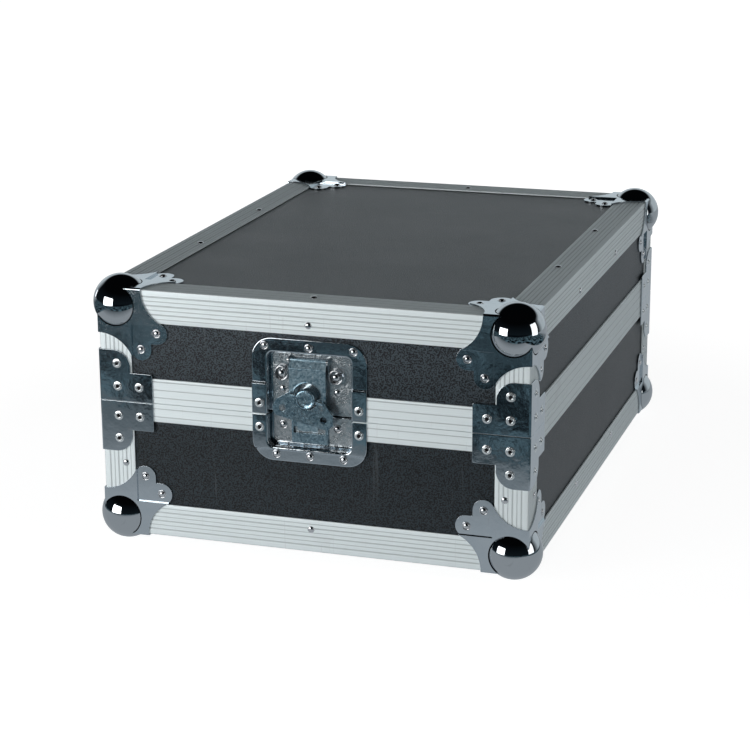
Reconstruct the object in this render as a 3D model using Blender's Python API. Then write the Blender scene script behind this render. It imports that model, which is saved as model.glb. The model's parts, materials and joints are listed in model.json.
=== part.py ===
"""DJ mixer flight case: laminated plywood panels in aluminium edging, with pressed steel hardware.

The case rests on the flats of its four lower ball corners at Z = 0, with X to its right seen from the
front, Y to its back and Z up. X = 0 and Y = 0 are the middle of the case. Lengths are in metres.
"""

import math

import bmesh
import bpy
from mathutils import Matrix, Vector

# Case, measured over the outer faces of the aluminium edging
CASE_WIDTH = 0.395
CASE_DEPTH = 0.539
BASE_HEIGHT = 0.125
LID_HEADROOM = 0.0042
FIT_GAP = 0.0003

# Panels of laminated plywood
PANEL_THICKNESS = 0.009

# Aluminium angle on the outer edges
EDGE_LEG = 0.030
EDGE_WALL = 0.0015

# Closing frames: a tongue on the base enters a groove in the lid
LID_FRAME_FACE = 0.0227
BASE_FRAME_FACE = 0.0172
FRAME_WEB = 0.0015
INNER_LEG_WALL = 0.0012
INNER_LEG_REACH = 0.011
TONGUE_SETBACK = 0.00415
TONGUE_WIDTH = 0.004
TONGUE_HEIGHT = 0.0035
GROOVE_HEADROOM = 0.0009

# Ball corners of pressed steel, with three wings each
SHEET = 0.0012
BALL_RADIUS = 0.025
BALL_INSET = 0.0155
BALL_FLAT = 0.0005
WING_REACH = 0.0415
SCALLOP_RADIUS = 0.0345
LOBE_RADIUS = 0.010
LOBE_NEAR = 0.0095
LOBE_FAR = 0.025

# Corner braces, folded round the upright edges above and below the split
BRACE_HEIGHT = 0.0475
BRACE_STEM_WIDTH = 0.029
BRACE_STEM_ROUND = 0.016
BRACE_ARM_LENGTH = 0.050
BRACE_ARM_HEIGHT = 0.0268
BRACE_ARM_ROUND = 0.0015

# Recessed latch dish in two halves, heights measured from the split
DISH_WIDTH = 0.106
DISH_TOP = 0.0698
DISH_BOTTOM = 0.0426
DISH_ROUND = 0.019
DISH_SPLIT_GAP = 0.0015
PAN_WIDTH = 0.0776
PAN_TOP = 0.0570
PAN_BOTTOM = 0.0292
PAN_SETBACK = 0.0001
LID_JOGGLE = 0.0283
BASE_JOGGLE = 0.0320

# Latch mechanism, which hangs a little left of the dish's middle
LATCH_OFFSET = -0.002
HINGE_PLATE_WIDTH = 0.054
HINGE_PLATE_FOOT = 0.010
HINGE_PLATE_TOP = 0.0540
EAR_WALL = 0.0015
EAR_WIDTH = 0.007
KEEPER_HEIGHT = 0.004
KEEPER_TOP = -0.005
KEEPER_BOTTOM = -0.026
KEEPER_FLANGE_WIDTH = 0.060
KEEPER_FLANGE_HEIGHT = 0.013
WINDOW_SIDE = 0.0021
WINDOW_HEIGHT = 0.0058
WELD_DEPTH = 0.0004

# Hook plate, hung on a pin at its top
HOOK_WIDTH = 0.0338
HOOK_SHEET = 0.0016
HOOK_TAB_FOOT = 0.043
HOOK_TAB_TOP = 0.0512
HOOK_TAB_LEAN = 0.0035
HOOK_PIVOT_HEIGHT = 0.050
HOOK_PIN_RADIUS = 0.0015
HOOK_EYE_RADIUS = 0.0133
HOOK_TONGUE_WIDTH = 0.019
HOOK_TONGUE_TOP = 0.006
HOOK_NOSE_BOTTOM = -0.013
NOSE_TRAVEL = 0.0026
NOSE_PLAY = 0.0002

# Turning spindle and its fold-down wing
SPINDLE_HEIGHT = 0.0175
BOSS_RADIUS = 0.00875
BOSS_HEAD = 0.0035
NECK_RADIUS = 0.003
TAIL_RADIUS = 0.005
TAIL_THICKNESS = 0.0012
WING_GAP = 0.0021
WING_SHEET = 0.0014
WING_TILT = math.radians(12.6)
WING_SWING_GAP = 0.0007
WING_PIN_RADIUS = 0.0015
WING_PIN_LENGTH = 0.0038
KNUCKLE_RADIUS = 0.0018
WING_TOP = 0.0020
SHOULDER_HALF = 0.0157
CHEEK_HALF = 0.0270
CHEEK_DROP = 0.0085
TIP_HALF = 0.0284
TIP_DROP = 0.0170
CHIN_HALF = 0.0220
CHIN_DROP = 0.0220
WING_HOLE_HALF = 0.0194
WING_HOLE_DROP = 0.0146
WING_HOLE_RADIUS = 0.0032

# Recessed carrying handle on the left side of the base
HANDLE_WIDTH = 0.128
HANDLE_HEIGHT = 0.070
HANDLE_ROUND = 0.012
HANDLE_PAN_WIDTH = 0.100
HANDLE_PAN_HEIGHT = 0.050
HANDLE_PAN_DEPTH = 0.016
BAIL_AXIS_RISE = 0.017
BAIL_AXIS_DEPTH = 0.0085
BAIL_REACH = 0.030
BAIL_WIDTH = 0.084
BAIL_BEND = 0.007
BAIL_RADIUS = 0.0032
GRIP_LENGTH = 0.064
GRIP_RADIUS = 0.0065

# Foam pads
FOAM_THICKNESS = 0.010

# Places worked out from the sizes above
BALL_REACH = BALL_RADIUS - BALL_INSET
UNDERSIDE_Z = BALL_REACH - BALL_FLAT
SPLIT_Z = UNDERSIDE_Z + BASE_HEIGHT
LID_HEIGHT = DISH_TOP + LID_HEADROOM + EDGE_LEG
TOP_Z = SPLIT_Z + LID_HEIGHT
PANEL_INSET = EDGE_WALL + FIT_GAP
PANEL_INNER = PANEL_INSET + PANEL_THICKNESS
FLANGE_DEPTH = PANEL_INSET - FIT_GAP - SHEET
INNER_LEG_DEPTH = PANEL_INNER + FIT_GAP
FRAME_DEPTH = INNER_LEG_DEPTH + INNER_LEG_WALL
LID_WEB_TOP = TONGUE_HEIGHT + GROOVE_HEADROOM + FRAME_WEB
LID_WALL_FOOT = LID_WEB_TOP + FIT_GAP
BASE_WEB_FOOT = -FIT_GAP / 2 - FRAME_WEB
BASE_WALL_TOP = BASE_WEB_FOOT - FIT_GAP
PAN_BACK = PANEL_INNER - PAN_SETBACK
PAN_FLOOR = PAN_BACK - SHEET
HINGE_PLATE_FACE = PAN_FLOOR - SHEET
KEEPER_FACE = PAN_FLOOR - KEEPER_HEIGHT
HOOK_BACK = KEEPER_FACE - FIT_GAP - NOSE_TRAVEL
HOOK_FACE = HOOK_BACK - HOOK_SHEET
HOOK_PIVOT_DEPTH = HOOK_FACE + HOOK_SHEET / 2 + HOOK_TAB_LEAN
WING_BACK = HOOK_FACE - WING_GAP
WING_FACE = WING_BACK - WING_SHEET
WING_AXIS_DEPTH = (WING_BACK + WING_FACE) / 2
BOSS_FACE = WING_FACE - BOSS_HEAD
NOSE_TOP = HOOK_NOSE_BOTTOM + HOOK_SHEET
GROOVE_BACK = TONGUE_SETBACK + TONGUE_WIDTH + FIT_GAP
WINDOW_TOP = NOSE_TOP + FIT_GAP + NOSE_PLAY
HANDLE_Z = (UNDERSIDE_Z + EDGE_LEG + SPLIT_Z - BASE_FRAME_FACE) / 2
BEYOND = 0.005
WELL_BEYOND = 0.015
WELD = 0.000001

BOSS_STEPS = 28
ROUND_STEPS = 20
BORE_STEPS = 16
PIN_STEPS = 12
ARC_STEPS = 6
CORNER_STEPS = 4
SMOOTH_BELOW = math.radians(40)
BALL_SMOOTH_BELOW = math.radians(35)

case = bpy.data.collections.new("dj_mixer_flight_case")
workshop = bpy.data.collections.new("cutters")


def clear_scene():
    """Empty the scene and set up the two collections."""
    for obj in list(bpy.data.objects):
        bpy.data.objects.remove(obj, do_unlink=True)
    bpy.context.scene.collection.children.link(case)
    bpy.context.scene.collection.children.link(workshop)


def make_material(name, colour, roughness, metallic):
    """Return a Principled material."""
    made = bpy.data.materials.new(name)
    made.use_nodes = True
    shader = made.node_tree.nodes["Principled BSDF"]
    shader.inputs["Base Color"].default_value = (*colour, 1.0)
    shader.inputs["Roughness"].default_value = roughness
    shader.inputs["Metallic"].default_value = metallic
    return made


def tool_from_bmesh(bm):
    """Put a bmesh into the workshop as a hidden tool object."""
    bmesh.ops.recalc_face_normals(bm, faces=bm.faces)
    mesh = bpy.data.meshes.new("tool")
    bm.to_mesh(mesh)
    bm.free()
    tool = bpy.data.objects.new("tool", mesh)
    tool.hide_render = True
    tool.display_type = "WIRE"
    workshop.objects.link(tool)
    return tool


def box(low, high):
    """Return a box between two opposite corners."""
    low = Vector(low)
    high = Vector(high)
    bm = bmesh.new()
    place = Matrix.Translation((low + high) / 2) @ Matrix.Diagonal((high - low).to_4d())
    place[3][3] = 1.0
    bmesh.ops.create_cube(bm, size=1.0, matrix=place)
    return tool_from_bmesh(bm)


def rod(start, end, radius, end_radius=None, steps=ROUND_STEPS):
    """Return a cylinder, or a cone stub, between two points."""
    start = Vector(start)
    end = Vector(end)
    turn = (end - start).to_track_quat("Z", "Y").to_matrix().to_4x4()
    bm = bmesh.new()
    bmesh.ops.create_cone(
        bm,
        cap_ends=True,
        segments=steps,
        radius1=radius,
        radius2=radius if end_radius is None else end_radius,
        depth=(end - start).length,
        matrix=Matrix.Translation((start + end) / 2) @ turn,
    )
    return tool_from_bmesh(bm)


def ball(centre, radius):
    """Return a sphere."""
    bm = bmesh.new()
    bmesh.ops.create_uvsphere(
        bm,
        u_segments=ROUND_STEPS,
        v_segments=ROUND_STEPS // 2,
        radius=radius,
        matrix=Matrix.Translation(centre),
    )
    return tool_from_bmesh(bm)


def turned(profile):
    """Return the solid that a profile of radius and depth sweeps about the Y axis."""
    bm = bmesh.new()
    points = [bm.verts.new((radius, depth, 0.0)) for radius, depth in profile]
    edges = [bm.edges.new(pair) for pair in zip(points, points[1:])]
    bmesh.ops.spin(
        bm,
        geom=points + edges,
        cent=(0, 0, 0),
        axis=(0, 1, 0),
        angle=math.tau,
        steps=BOSS_STEPS,
        use_merge=True,
    )
    bmesh.ops.remove_doubles(bm, verts=bm.verts, dist=WELD)
    return tool_from_bmesh(bm)


def evaluated_mesh(obj):
    """Return an object's mesh as its modifiers leave it."""
    bpy.context.view_layer.update()
    depsgraph = bpy.context.evaluated_depsgraph_get()
    return bpy.data.meshes.new_from_object(obj.evaluated_get(depsgraph))


def take_curve(obj):
    """Return a curve object's mesh with its loose caps welded, and remove the object."""
    bm = bmesh.new()
    bm.from_mesh(evaluated_mesh(obj))
    bmesh.ops.remove_doubles(bm, verts=bm.verts, dist=WELD)
    bpy.data.objects.remove(obj, do_unlink=True)
    return bm


def slab(outline, low, high, across, up):
    """Return a flat outline as a plate: its points lie along across and up, its faces at low and high."""
    curve = bpy.data.curves.new("outline", "CURVE")
    curve.dimensions = "2D"
    curve.fill_mode = "BOTH"
    curve.extrude = (high - low) / 2
    spline = curve.splines.new("POLY")
    spline.points.add(len(outline) - 1)
    for point, (a, b) in zip(spline.points, outline):
        point.co = (a, b, 0.0, 1.0)
    spline.use_cyclic_u = True
    flat = bpy.data.objects.new("outline", curve)
    workshop.objects.link(flat)
    lift = Matrix.Translation((0.0, 0.0, (low + high) / 2))
    bm = take_curve(flat)
    across = Vector(across)
    up = Vector(up)
    turn = Matrix((across, up, across.cross(up))).transposed().to_4x4()
    bmesh.ops.transform(bm, matrix=turn @ lift, verts=bm.verts)
    return tool_from_bmesh(bm)


def join(operation, body, *tools):
    """Apply Booleans to the body one after another and return it as one tool."""
    for tool in tools:
        step = body.modifiers.new("step", "BOOLEAN")
        step.operation = operation
        step.object = tool
        mesh = evaluated_mesh(body)
        body.modifiers.clear()
        body.data = mesh
        bpy.data.objects.remove(tool, do_unlink=True)
    return body


def fuse(body, *tools):
    """Unite the tools with the body."""
    return join("UNION", body, *tools)


def cut(body, *tools):
    """Cut the tools out of the body."""
    return join("DIFFERENCE", body, *tools)


def take_mesh(tool, name, material, smooth=None):
    """Turn a tool into a named mesh with its material, shaded smooth below an angle where it is round."""
    mesh = tool.data
    mesh.name = name
    mesh.materials.clear()
    mesh.materials.append(material)
    bpy.data.objects.remove(tool, do_unlink=True)
    if smooth is not None:
        mesh.shade_smooth()
        mesh.set_sharp_from_angle(angle=smooth)
    return mesh


def add_part(name, mesh, parent, location=(0.0, 0.0, 0.0), rotation=(0.0, 0.0, 0.0)):
    """Add one named piece of the case."""
    part = bpy.data.objects.new(name, mesh)
    part.location = location
    part.rotation_euler = rotation
    part.parent = parent
    case.objects.link(part)
    return part


def add_empty(name, location=(0.0, 0.0, 0.0), rotation=(0.0, 0.0, 0.0), parent=None):
    """Add an empty that carries pieces."""
    empty = bpy.data.objects.new(name, None)
    empty.location = location
    empty.rotation_euler = rotation
    empty.parent = parent
    case.objects.link(empty)
    return empty


def arc(centre, radius, start, end, steps=ARC_STEPS):
    """Return points along an arc, in degrees, both ends included."""
    points = []
    for i in range(steps + 1):
        angle = math.radians(start + (end - start) * i / steps)
        points.append((centre[0] + radius * math.cos(angle), centre[1] + radius * math.sin(angle)))
    return points


# The four corners, seen from above, with the quarter turns that carry one to the next
CORNERS = {"back_right": 0, "back_left": 1, "front_left": 2, "front_right": 3}


def corner_spot(name):
    """Return the X and Y of an upright edge of the case and its turn about Z from the back right one."""
    x = CASE_WIDTH / 2 if name.endswith("right") else -CASE_WIDTH / 2
    y = CASE_DEPTH / 2 if name.startswith("back") else -CASE_DEPTH / 2
    return x, y, math.radians(90) * CORNERS[name]


def inset_box(inset, low, high):
    """Return a box as wide and deep as the case less an inset on each side."""
    half_x = CASE_WIDTH / 2 - inset
    half_y = CASE_DEPTH / 2 - inset
    return box((-half_x, -half_y, low), (half_x, half_y, high))


def inset_ring(outer, inner, low, high):
    """Return a rectangular ring between two insets."""
    return cut(inset_box(outer, low, high), inset_box(inner, low - BEYOND, high + BEYOND))


def pan_notches(low, high):
    """Return boxes that clear the latch dishes through the front and back panels, measured from the split."""
    half = PAN_WIDTH / 2 + SHEET + FIT_GAP
    near = CASE_DEPTH / 2 - PANEL_INNER - BEYOND
    far = CASE_DEPTH / 2 + BEYOND
    return box((-half, -far, low), (half, -near, high)), box((-half, near, low), (half, far, high))


def add_frame_halves(shell, parent, aluminium, build_ring):
    """Add a closing frame as its left and right halves, which stop beside the latch dishes."""
    stop = PAN_WIDTH / 2 + SHEET + FIT_GAP
    for side, (low, high) in (("left", (-stop, CASE_WIDTH)), ("right", (-CASE_WIDTH, stop))):
        half = cut(build_ring(), box((low, -CASE_DEPTH, -EDGE_LEG), (high, CASE_DEPTH, EDGE_LEG)))
        name = shell + "_closing_frame_" + side
        add_part(name, take_mesh(half, name, aluminium), parent, (0, 0, SPLIT_Z))


def lid_frame_ring():
    """Return the lid's closing frame: outer leg, grooved web and inner leg."""
    frame = cut(
        inset_box(0.0, FIT_GAP / 2, LID_FRAME_FACE),
        inset_box(EDGE_WALL, LID_WEB_TOP, LID_FRAME_FACE + BEYOND),
        inset_box(FRAME_DEPTH, -BEYOND, LID_FRAME_FACE + BEYOND),
        inset_ring(TONGUE_SETBACK - FIT_GAP, GROOVE_BACK, -BEYOND, TONGUE_HEIGHT + GROOVE_HEADROOM),
    )
    return fuse(frame, inset_ring(INNER_LEG_DEPTH, FRAME_DEPTH, LID_WEB_TOP - FRAME_WEB / 2, INNER_LEG_REACH))


def base_frame_ring():
    """Return the base's closing frame: outer leg, web with its tongue and inner leg."""
    web_middle = BASE_WEB_FOOT + FRAME_WEB / 2
    frame = cut(
        inset_box(0.0, -BASE_FRAME_FACE, -FIT_GAP / 2),
        inset_box(EDGE_WALL, -BASE_FRAME_FACE - BEYOND, BASE_WEB_FOOT),
        inset_box(FRAME_DEPTH, -BASE_FRAME_FACE - BEYOND, BEYOND),
    )
    return fuse(
        frame,
        inset_ring(INNER_LEG_DEPTH, FRAME_DEPTH, -INNER_LEG_REACH, web_middle),
        inset_ring(TONGUE_SETBACK, TONGUE_SETBACK + TONGUE_WIDTH, web_middle, TONGUE_HEIGHT),
    )


def add_closing_frames(lid, base, aluminium):
    """Closing frames hold the edges of the wall panels, and the base's tongue enters the lid's groove."""
    add_frame_halves("lid", lid, aluminium, lid_frame_ring)
    add_frame_halves("base", base, aluminium, base_frame_ring)


def add_panels(lid, base, laminate):
    """Ten panels: flat ones close the top and bottom, and the walls stand between them."""
    face = PANEL_INSET
    top_low = LID_HEIGHT - PANEL_INNER
    bottom_high = -BASE_HEIGHT + PANEL_INNER
    top = inset_box(face, top_low, LID_HEIGHT - face)
    add_part("lid_top_panel", take_mesh(top, "lid_top_panel", laminate), lid, (0, 0, SPLIT_Z))
    bottom = inset_box(face, -BASE_HEIGHT + face, bottom_high)
    add_part("base_bottom_panel", take_mesh(bottom, "base_bottom_panel", laminate), base, (0, 0, SPLIT_Z))
    x_out = CASE_WIDTH / 2 - face
    x_in = x_out - PANEL_THICKNESS
    y_out = CASE_DEPTH / 2 - face
    y_in = y_out - PANEL_THICKNESS
    half = x_in - FIT_GAP
    walls = {
        "front_panel": ((-half, -y_out), (half, -y_in)),
        "back_panel": ((-half, y_in), (half, y_out)),
        "left_panel": ((-x_out, -y_out), (-x_in, y_out)),
        "right_panel": ((x_in, -y_out), (x_out, y_out)),
    }
    pan_high = PAN_TOP + SHEET + FIT_GAP
    pan_low = -PAN_BOTTOM - SHEET - FIT_GAP
    shells = {
        "lid": (lid, LID_WALL_FOOT, top_low - FIT_GAP, LID_WALL_FOOT - BEYOND, pan_high),
        "base": (base, bottom_high + FIT_GAP, BASE_WALL_TOP, pan_low, BASE_WALL_TOP + BEYOND),
    }
    for shell, (parent, low, high, notch_low, notch_high) in shells.items():
        for wall, ((x0, y0), (x1, y1)) in walls.items():
            panel = box((x0, y0, low), (x1, y1, high))
            if wall in ("front_panel", "back_panel"):
                panel = cut(panel, *pan_notches(notch_low, notch_high))
            if shell == "base" and wall == "left_panel":
                panel = cut(panel, handle_pan_block(FIT_GAP, PANEL_INNER + BEYOND))
            name = shell + "_" + wall
            add_part(name, take_mesh(panel, name, laminate), parent, (0, 0, SPLIT_Z))


def angle_bar(length, name, aluminium):
    """Return a length of angle along Z, with its two legs along X and Y from the edge at the origin."""
    bar = fuse(
        box((0, 0, 0), (EDGE_LEG, EDGE_WALL, length)),
        box((0, 0, 0), (EDGE_WALL, EDGE_LEG, length)),
    )
    return take_mesh(bar, name, aluminium)


def turn_from(x_axis, y_axis, z_axis):
    """Return the rotation that carries the local axes to the three given ones."""
    return Matrix((Vector(x_axis), Vector(y_axis), Vector(z_axis))).transposed().to_euler()


def add_edges(lid, base, aluminium):
    """Angle on the eight long outer edges and the eight upright ones, square cut under the ball corners."""
    end = EDGE_LEG + FIT_GAP
    long_x = angle_bar(CASE_WIDTH - 2 * end, "edge_across", aluminium)
    long_y = angle_bar(CASE_DEPTH - 2 * end, "edge_along", aluminium)
    half_x = CASE_WIDTH / 2
    half_y = CASE_DEPTH / 2
    level = {"lid_top": (lid, TOP_Z, -1), "base_bottom": (base, UNDERSIDE_Z, 1)}
    for name, (parent, z, way) in level.items():
        into = (0, 0, way)
        rows = {
            "front": (long_x, (-half_x + end, -half_y, z), (1, 0, 0), (0, 1, 0)),
            "back": (long_x, (half_x - end, half_y, z), (-1, 0, 0), (0, -1, 0)),
            "left": (long_y, (-half_x, half_y - end, z), (0, -1, 0), (1, 0, 0)),
            "right": (long_y, (half_x, -half_y + end, z), (0, 1, 0), (-1, 0, 0)),
        }
        for side, (mesh, start, along, inward) in rows.items():
            first, second = (inward, into) if way > 0 else (into, inward)
            turn = turn_from(first, second, Vector(first).cross(Vector(second)))
            if Vector(first).cross(Vector(second)).dot(Vector(along)) < 0:
                turn = turn_from(second, first, Vector(second).cross(Vector(first)))
            add_part(name + "_edge_" + side, mesh, parent, start, turn)
    lid_foot = LID_FRAME_FACE + FIT_GAP
    lid_bar = angle_bar(LID_HEIGHT - end - lid_foot, "lid_upright_edge", aluminium)
    base_bar = angle_bar(BASE_HEIGHT - end - BASE_FRAME_FACE - FIT_GAP, "base_upright_edge", aluminium)
    for corner in CORNERS:
        x, y, turn = corner_spot(corner)
        inward = turn + math.pi
        add_part("lid_upright_edge_" + corner, lid_bar, lid, (x, y, SPLIT_Z + lid_foot), (0, 0, inward))
        add_part("base_upright_edge_" + corner, base_bar, base, (x, y, UNDERSIDE_Z + end), (0, 0, inward))


def scallop_end(across):
    """Return how far a wing reaches along an edge bar, at a distance across the bar from the case's edge."""
    across = max(across, 0.0)
    return WING_REACH + SCALLOP_RADIUS - math.sqrt(SCALLOP_RADIUS**2 - across**2)


def wing_outlines():
    """Return a ball corner's upper and lower wing outlines as distances in from two edges of the case."""
    riser = EDGE_LEG + FIT_GAP + SHEET
    sweep = []
    for i in range(ARC_STEPS):
        across = riser * i / (ARC_STEPS - 1)
        sweep.append((scallop_end(across), across))
    upper = [(-BEYOND, -BEYOND), (WING_REACH, -BEYOND)] + sweep
    upper += [(riser, riser)]
    upper += [(b, a) for a, b in reversed(sweep)] + [(-BEYOND, WING_REACH)]

    start = EDGE_LEG + FIT_GAP + SHEET / 2
    near = EDGE_LEG + LOBE_NEAR
    far = EDGE_LEG + LOBE_FAR
    dip = math.degrees(math.asin((near - start) / LOBE_RADIUS))
    lobe = arc((far, near), LOBE_RADIUS, -dip, 90)
    lower = [(start, start)] + lobe + [(near + LOBE_RADIUS, near + LOBE_RADIUS)]
    lower += [(b, a) for a, b in reversed(lobe)]
    return upper, lower


def folded_block(reach):
    """Return a block outside the edge point at the origin, with the sheet's bend on its outer edges."""
    skin = FIT_GAP + SHEET
    block = box((-reach, -reach, -reach), (skin, skin, skin))
    bm = bmesh.new()
    bm.from_mesh(block.data)
    folds = [edge for edge in bm.edges if sum(abs(c - skin) < WELD for v in edge.verts for c in v.co) >= 4]
    bmesh.ops.bevel(bm, geom=folds, offset=SHEET, segments=2, profile=0.5, affect="EDGES")
    bm.to_mesh(block.data)
    bm.free()
    return block


def ball_corner(name, steel, flat):
    """Return a ball corner for the edge point at the origin, with the case at negative X, Y and Z."""
    upper, lower = wing_outlines()
    back = -PANEL_INSET - SHEET
    lower_face = -PANEL_INSET + FIT_GAP + SHEET
    faces = (((1, 0, 0), (0, 1, 0)), ((0, 1, 0), (0, 0, 1)), ((0, 0, 1), (1, 0, 0)))
    far = EDGE_LEG + LOBE_FAR + LOBE_RADIUS + BEYOND
    body = fuse(*[slab([(-a, -b) for a, b in upper], back, BEYOND + SHEET, *face) for face in faces])
    body = join("INTERSECT", body, folded_block(far))
    centre = (-BALL_INSET, -BALL_INSET, -BALL_INSET)
    body = cut(body, box(centre, (BEYOND, BEYOND, BEYOND)))
    body = fuse(body, *[slab([(-a, -b) for a, b in lower], back, lower_face, *face) for face in faces])
    body = fuse(body, ball(centre, BALL_RADIUS))
    inside = -PANEL_INSET + FIT_GAP
    leg = -EDGE_LEG - FIT_GAP
    room = fuse(
        box((-far, -far, -far), (inside, inside, inside)),
        box((-far - BEYOND, leg, leg), (-BALL_INSET, FIT_GAP, FIT_GAP)),
        box((leg, -far - BEYOND, leg), (FIT_GAP, -BALL_INSET, FIT_GAP)),
        box((leg, leg, -far - BEYOND), (FIT_GAP, FIT_GAP, -BALL_INSET)),
    )
    body = cut(body, room)
    if flat:
        foot = BALL_REACH - BALL_FLAT
        body = cut(body, box((-far, -far, foot), (BALL_RADIUS, BALL_RADIUS, foot + BEYOND)))
    return take_mesh(body, name, steel, BALL_SMOOTH_BELOW)


def add_ball_corners(lid, base, steel):
    """Ball corners on the eight corners; a lower one is an upper one turned over about its diagonal."""
    upper = ball_corner("lid_ball_corner", steel, False)
    lower = ball_corner("base_ball_corner", steel, True)
    over = Matrix.Rotation(math.pi, 3, Vector((1, 1, 0)).normalized())
    for corner in CORNERS:
        x, y, turn = corner_spot(corner)
        about = Matrix.Rotation(turn, 3, "Z")
        add_part("lid_ball_corner_" + corner, upper, lid, (x, y, TOP_Z), (0, 0, turn))
        add_part("base_ball_corner_" + corner, lower, base, (x, y, UNDERSIDE_Z), (about @ over).to_euler())


def add_braces(lid, base, steel):
    """Corner braces: an L on each of two faces, folded round the upright edge, above and below the split."""
    foot = FIT_GAP / 2
    stem = BRACE_STEM_WIDTH
    crown = (stem - BRACE_STEM_ROUND, BRACE_HEIGHT - BRACE_STEM_ROUND)
    tip = (BRACE_ARM_LENGTH - BRACE_ARM_ROUND, BRACE_ARM_HEIGHT - BRACE_ARM_ROUND)
    outline = [(-BEYOND, foot), (BRACE_ARM_LENGTH, foot)]
    outline += arc(tip, BRACE_ARM_ROUND, 0, 90, 2)
    outline += [(stem, BRACE_ARM_HEIGHT)]
    outline += arc(crown, BRACE_STEM_ROUND, 0, 90)
    outline += [(-BEYOND, BRACE_HEIGHT)]
    far = BRACE_ARM_LENGTH + BEYOND
    brace = fuse(
        slab([(b, -a) for a, b in outline], -SHEET, BEYOND + SHEET, (0, 0, 1), (1, 0, 0)),
        slab([(-a, b) for a, b in outline], -SHEET, BEYOND + SHEET, (0, 1, 0), (0, 0, 1)),
    )
    fold = folded_block(far)
    fold.location = (0, 0, far)
    brace = cut(join("INTERSECT", brace, fold), box((-far, -far, -far), (FIT_GAP, FIT_GAP, far)))
    mesh = take_mesh(brace, "corner_brace", steel)
    over = Matrix.Rotation(math.pi, 3, Vector((1, 1, 0)).normalized())
    for corner in CORNERS:
        x, y, turn = corner_spot(corner)
        about = Matrix.Rotation(turn, 3, "Z")
        add_part("lid_corner_brace_" + corner, mesh, lid, (x, y, SPLIT_Z), (0, 0, turn))
        add_part("base_corner_brace_" + corner, mesh, base, (x, y, SPLIT_Z), (about @ over).to_euler())


def dish_half(outline, joggle, way, pan_end):
    """Return half a latch dish: a flange stepped over the closing frame and a pan open at the split.

    The local frame has X across, Y into the case from its outer face and Z up from the split, and the half
    reaches up where way is 1 and down where it is -1.
    """
    frame_face = -FIT_GAP - SHEET
    panel_back = PANEL_INSET - FIT_GAP
    far = max(DISH_TOP, DISH_BOTTOM) + BEYOND
    half_flange = DISH_WIDTH / 2 + BEYOND
    half_pan = PAN_WIDTH / 2

    def between(half_width, front, back, near_end, far_end):
        """Return a box between two depths and two distances from the split."""
        low, high = sorted((way * near_end, way * far_end))
        return box((-half_width, front, low), (half_width, back, high))

    flange = slab(outline, -panel_back, -frame_face, (1, 0, 0), (0, 0, 1))
    flange = cut(flange, between(half_flange, -FIT_GAP, panel_back + BEYOND, -BEYOND, joggle))
    pan = between(half_pan + SHEET, -FIT_GAP - SHEET / 2, PAN_BACK, DISH_SPLIT_GAP, pan_end + SHEET)
    dish = fuse(flange, pan)
    return cut(
        dish,
        between(half_flange, frame_face - BEYOND, FLANGE_DEPTH, joggle + SHEET, far),
        between(half_pan, frame_face - BEYOND, PAN_FLOOR, -BEYOND, pan_end),
    )


def lid_dish_mesh(steel):
    """Return the upper dish half with the hinge plate, its two ears and the spindle's bore."""
    half = DISH_WIDTH / 2
    inner = half - DISH_ROUND
    crown = DISH_TOP - DISH_ROUND
    outline = [(half, DISH_SPLIT_GAP)] + arc((inner, crown), DISH_ROUND, 0, 90)
    outline += arc((-inner, crown), DISH_ROUND, 90, 180) + [(-half, DISH_SPLIT_GAP)]
    dish = dish_half(outline, LID_JOGGLE, 1, PAN_TOP)
    x = LATCH_OFFSET
    inside = PAN_FLOOR + WELD_DEPTH
    plate_half = HINGE_PLATE_WIDTH / 2
    plate = box(
        (x - plate_half, HINGE_PLATE_FACE, HINGE_PLATE_FOOT),
        (x + plate_half, inside, HINGE_PLATE_TOP),
    )
    ear_in = HOOK_WIDTH / 2 + FIT_GAP
    ear_low = HOOK_PIVOT_HEIGHT - EAR_WIDTH / 2
    ear_high = HOOK_PIVOT_HEIGHT + EAR_WIDTH / 2
    ear_face = HOOK_PIVOT_DEPTH - EAR_WIDTH / 2
    ears = []
    for side in (-1, 1):
        low, high = sorted((x + side * ear_in, x + side * (ear_in + EAR_WALL)))
        ears.append(box((low, ear_face, ear_low), (high, inside, ear_high)))
    dish = fuse(dish, fuse(plate, *ears))
    reach = ear_in + EAR_WALL + BEYOND
    pin_bore = rod(
        (x - reach, HOOK_PIVOT_DEPTH, HOOK_PIVOT_HEIGHT),
        (x + reach, HOOK_PIVOT_DEPTH, HOOK_PIVOT_HEIGHT),
        HOOK_PIN_RADIUS + FIT_GAP,
        steps=PIN_STEPS,
    )
    neck_bore = rod(
        (x, HINGE_PLATE_FACE - BEYOND, SPINDLE_HEIGHT),
        (x, PAN_BACK + BEYOND, SPINDLE_HEIGHT),
        NECK_RADIUS + FIT_GAP,
        steps=BORE_STEPS,
    )
    dish = cut(dish, pin_bore, neck_bore)
    return take_mesh(dish, "lid_latch_dish", steel)


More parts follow.
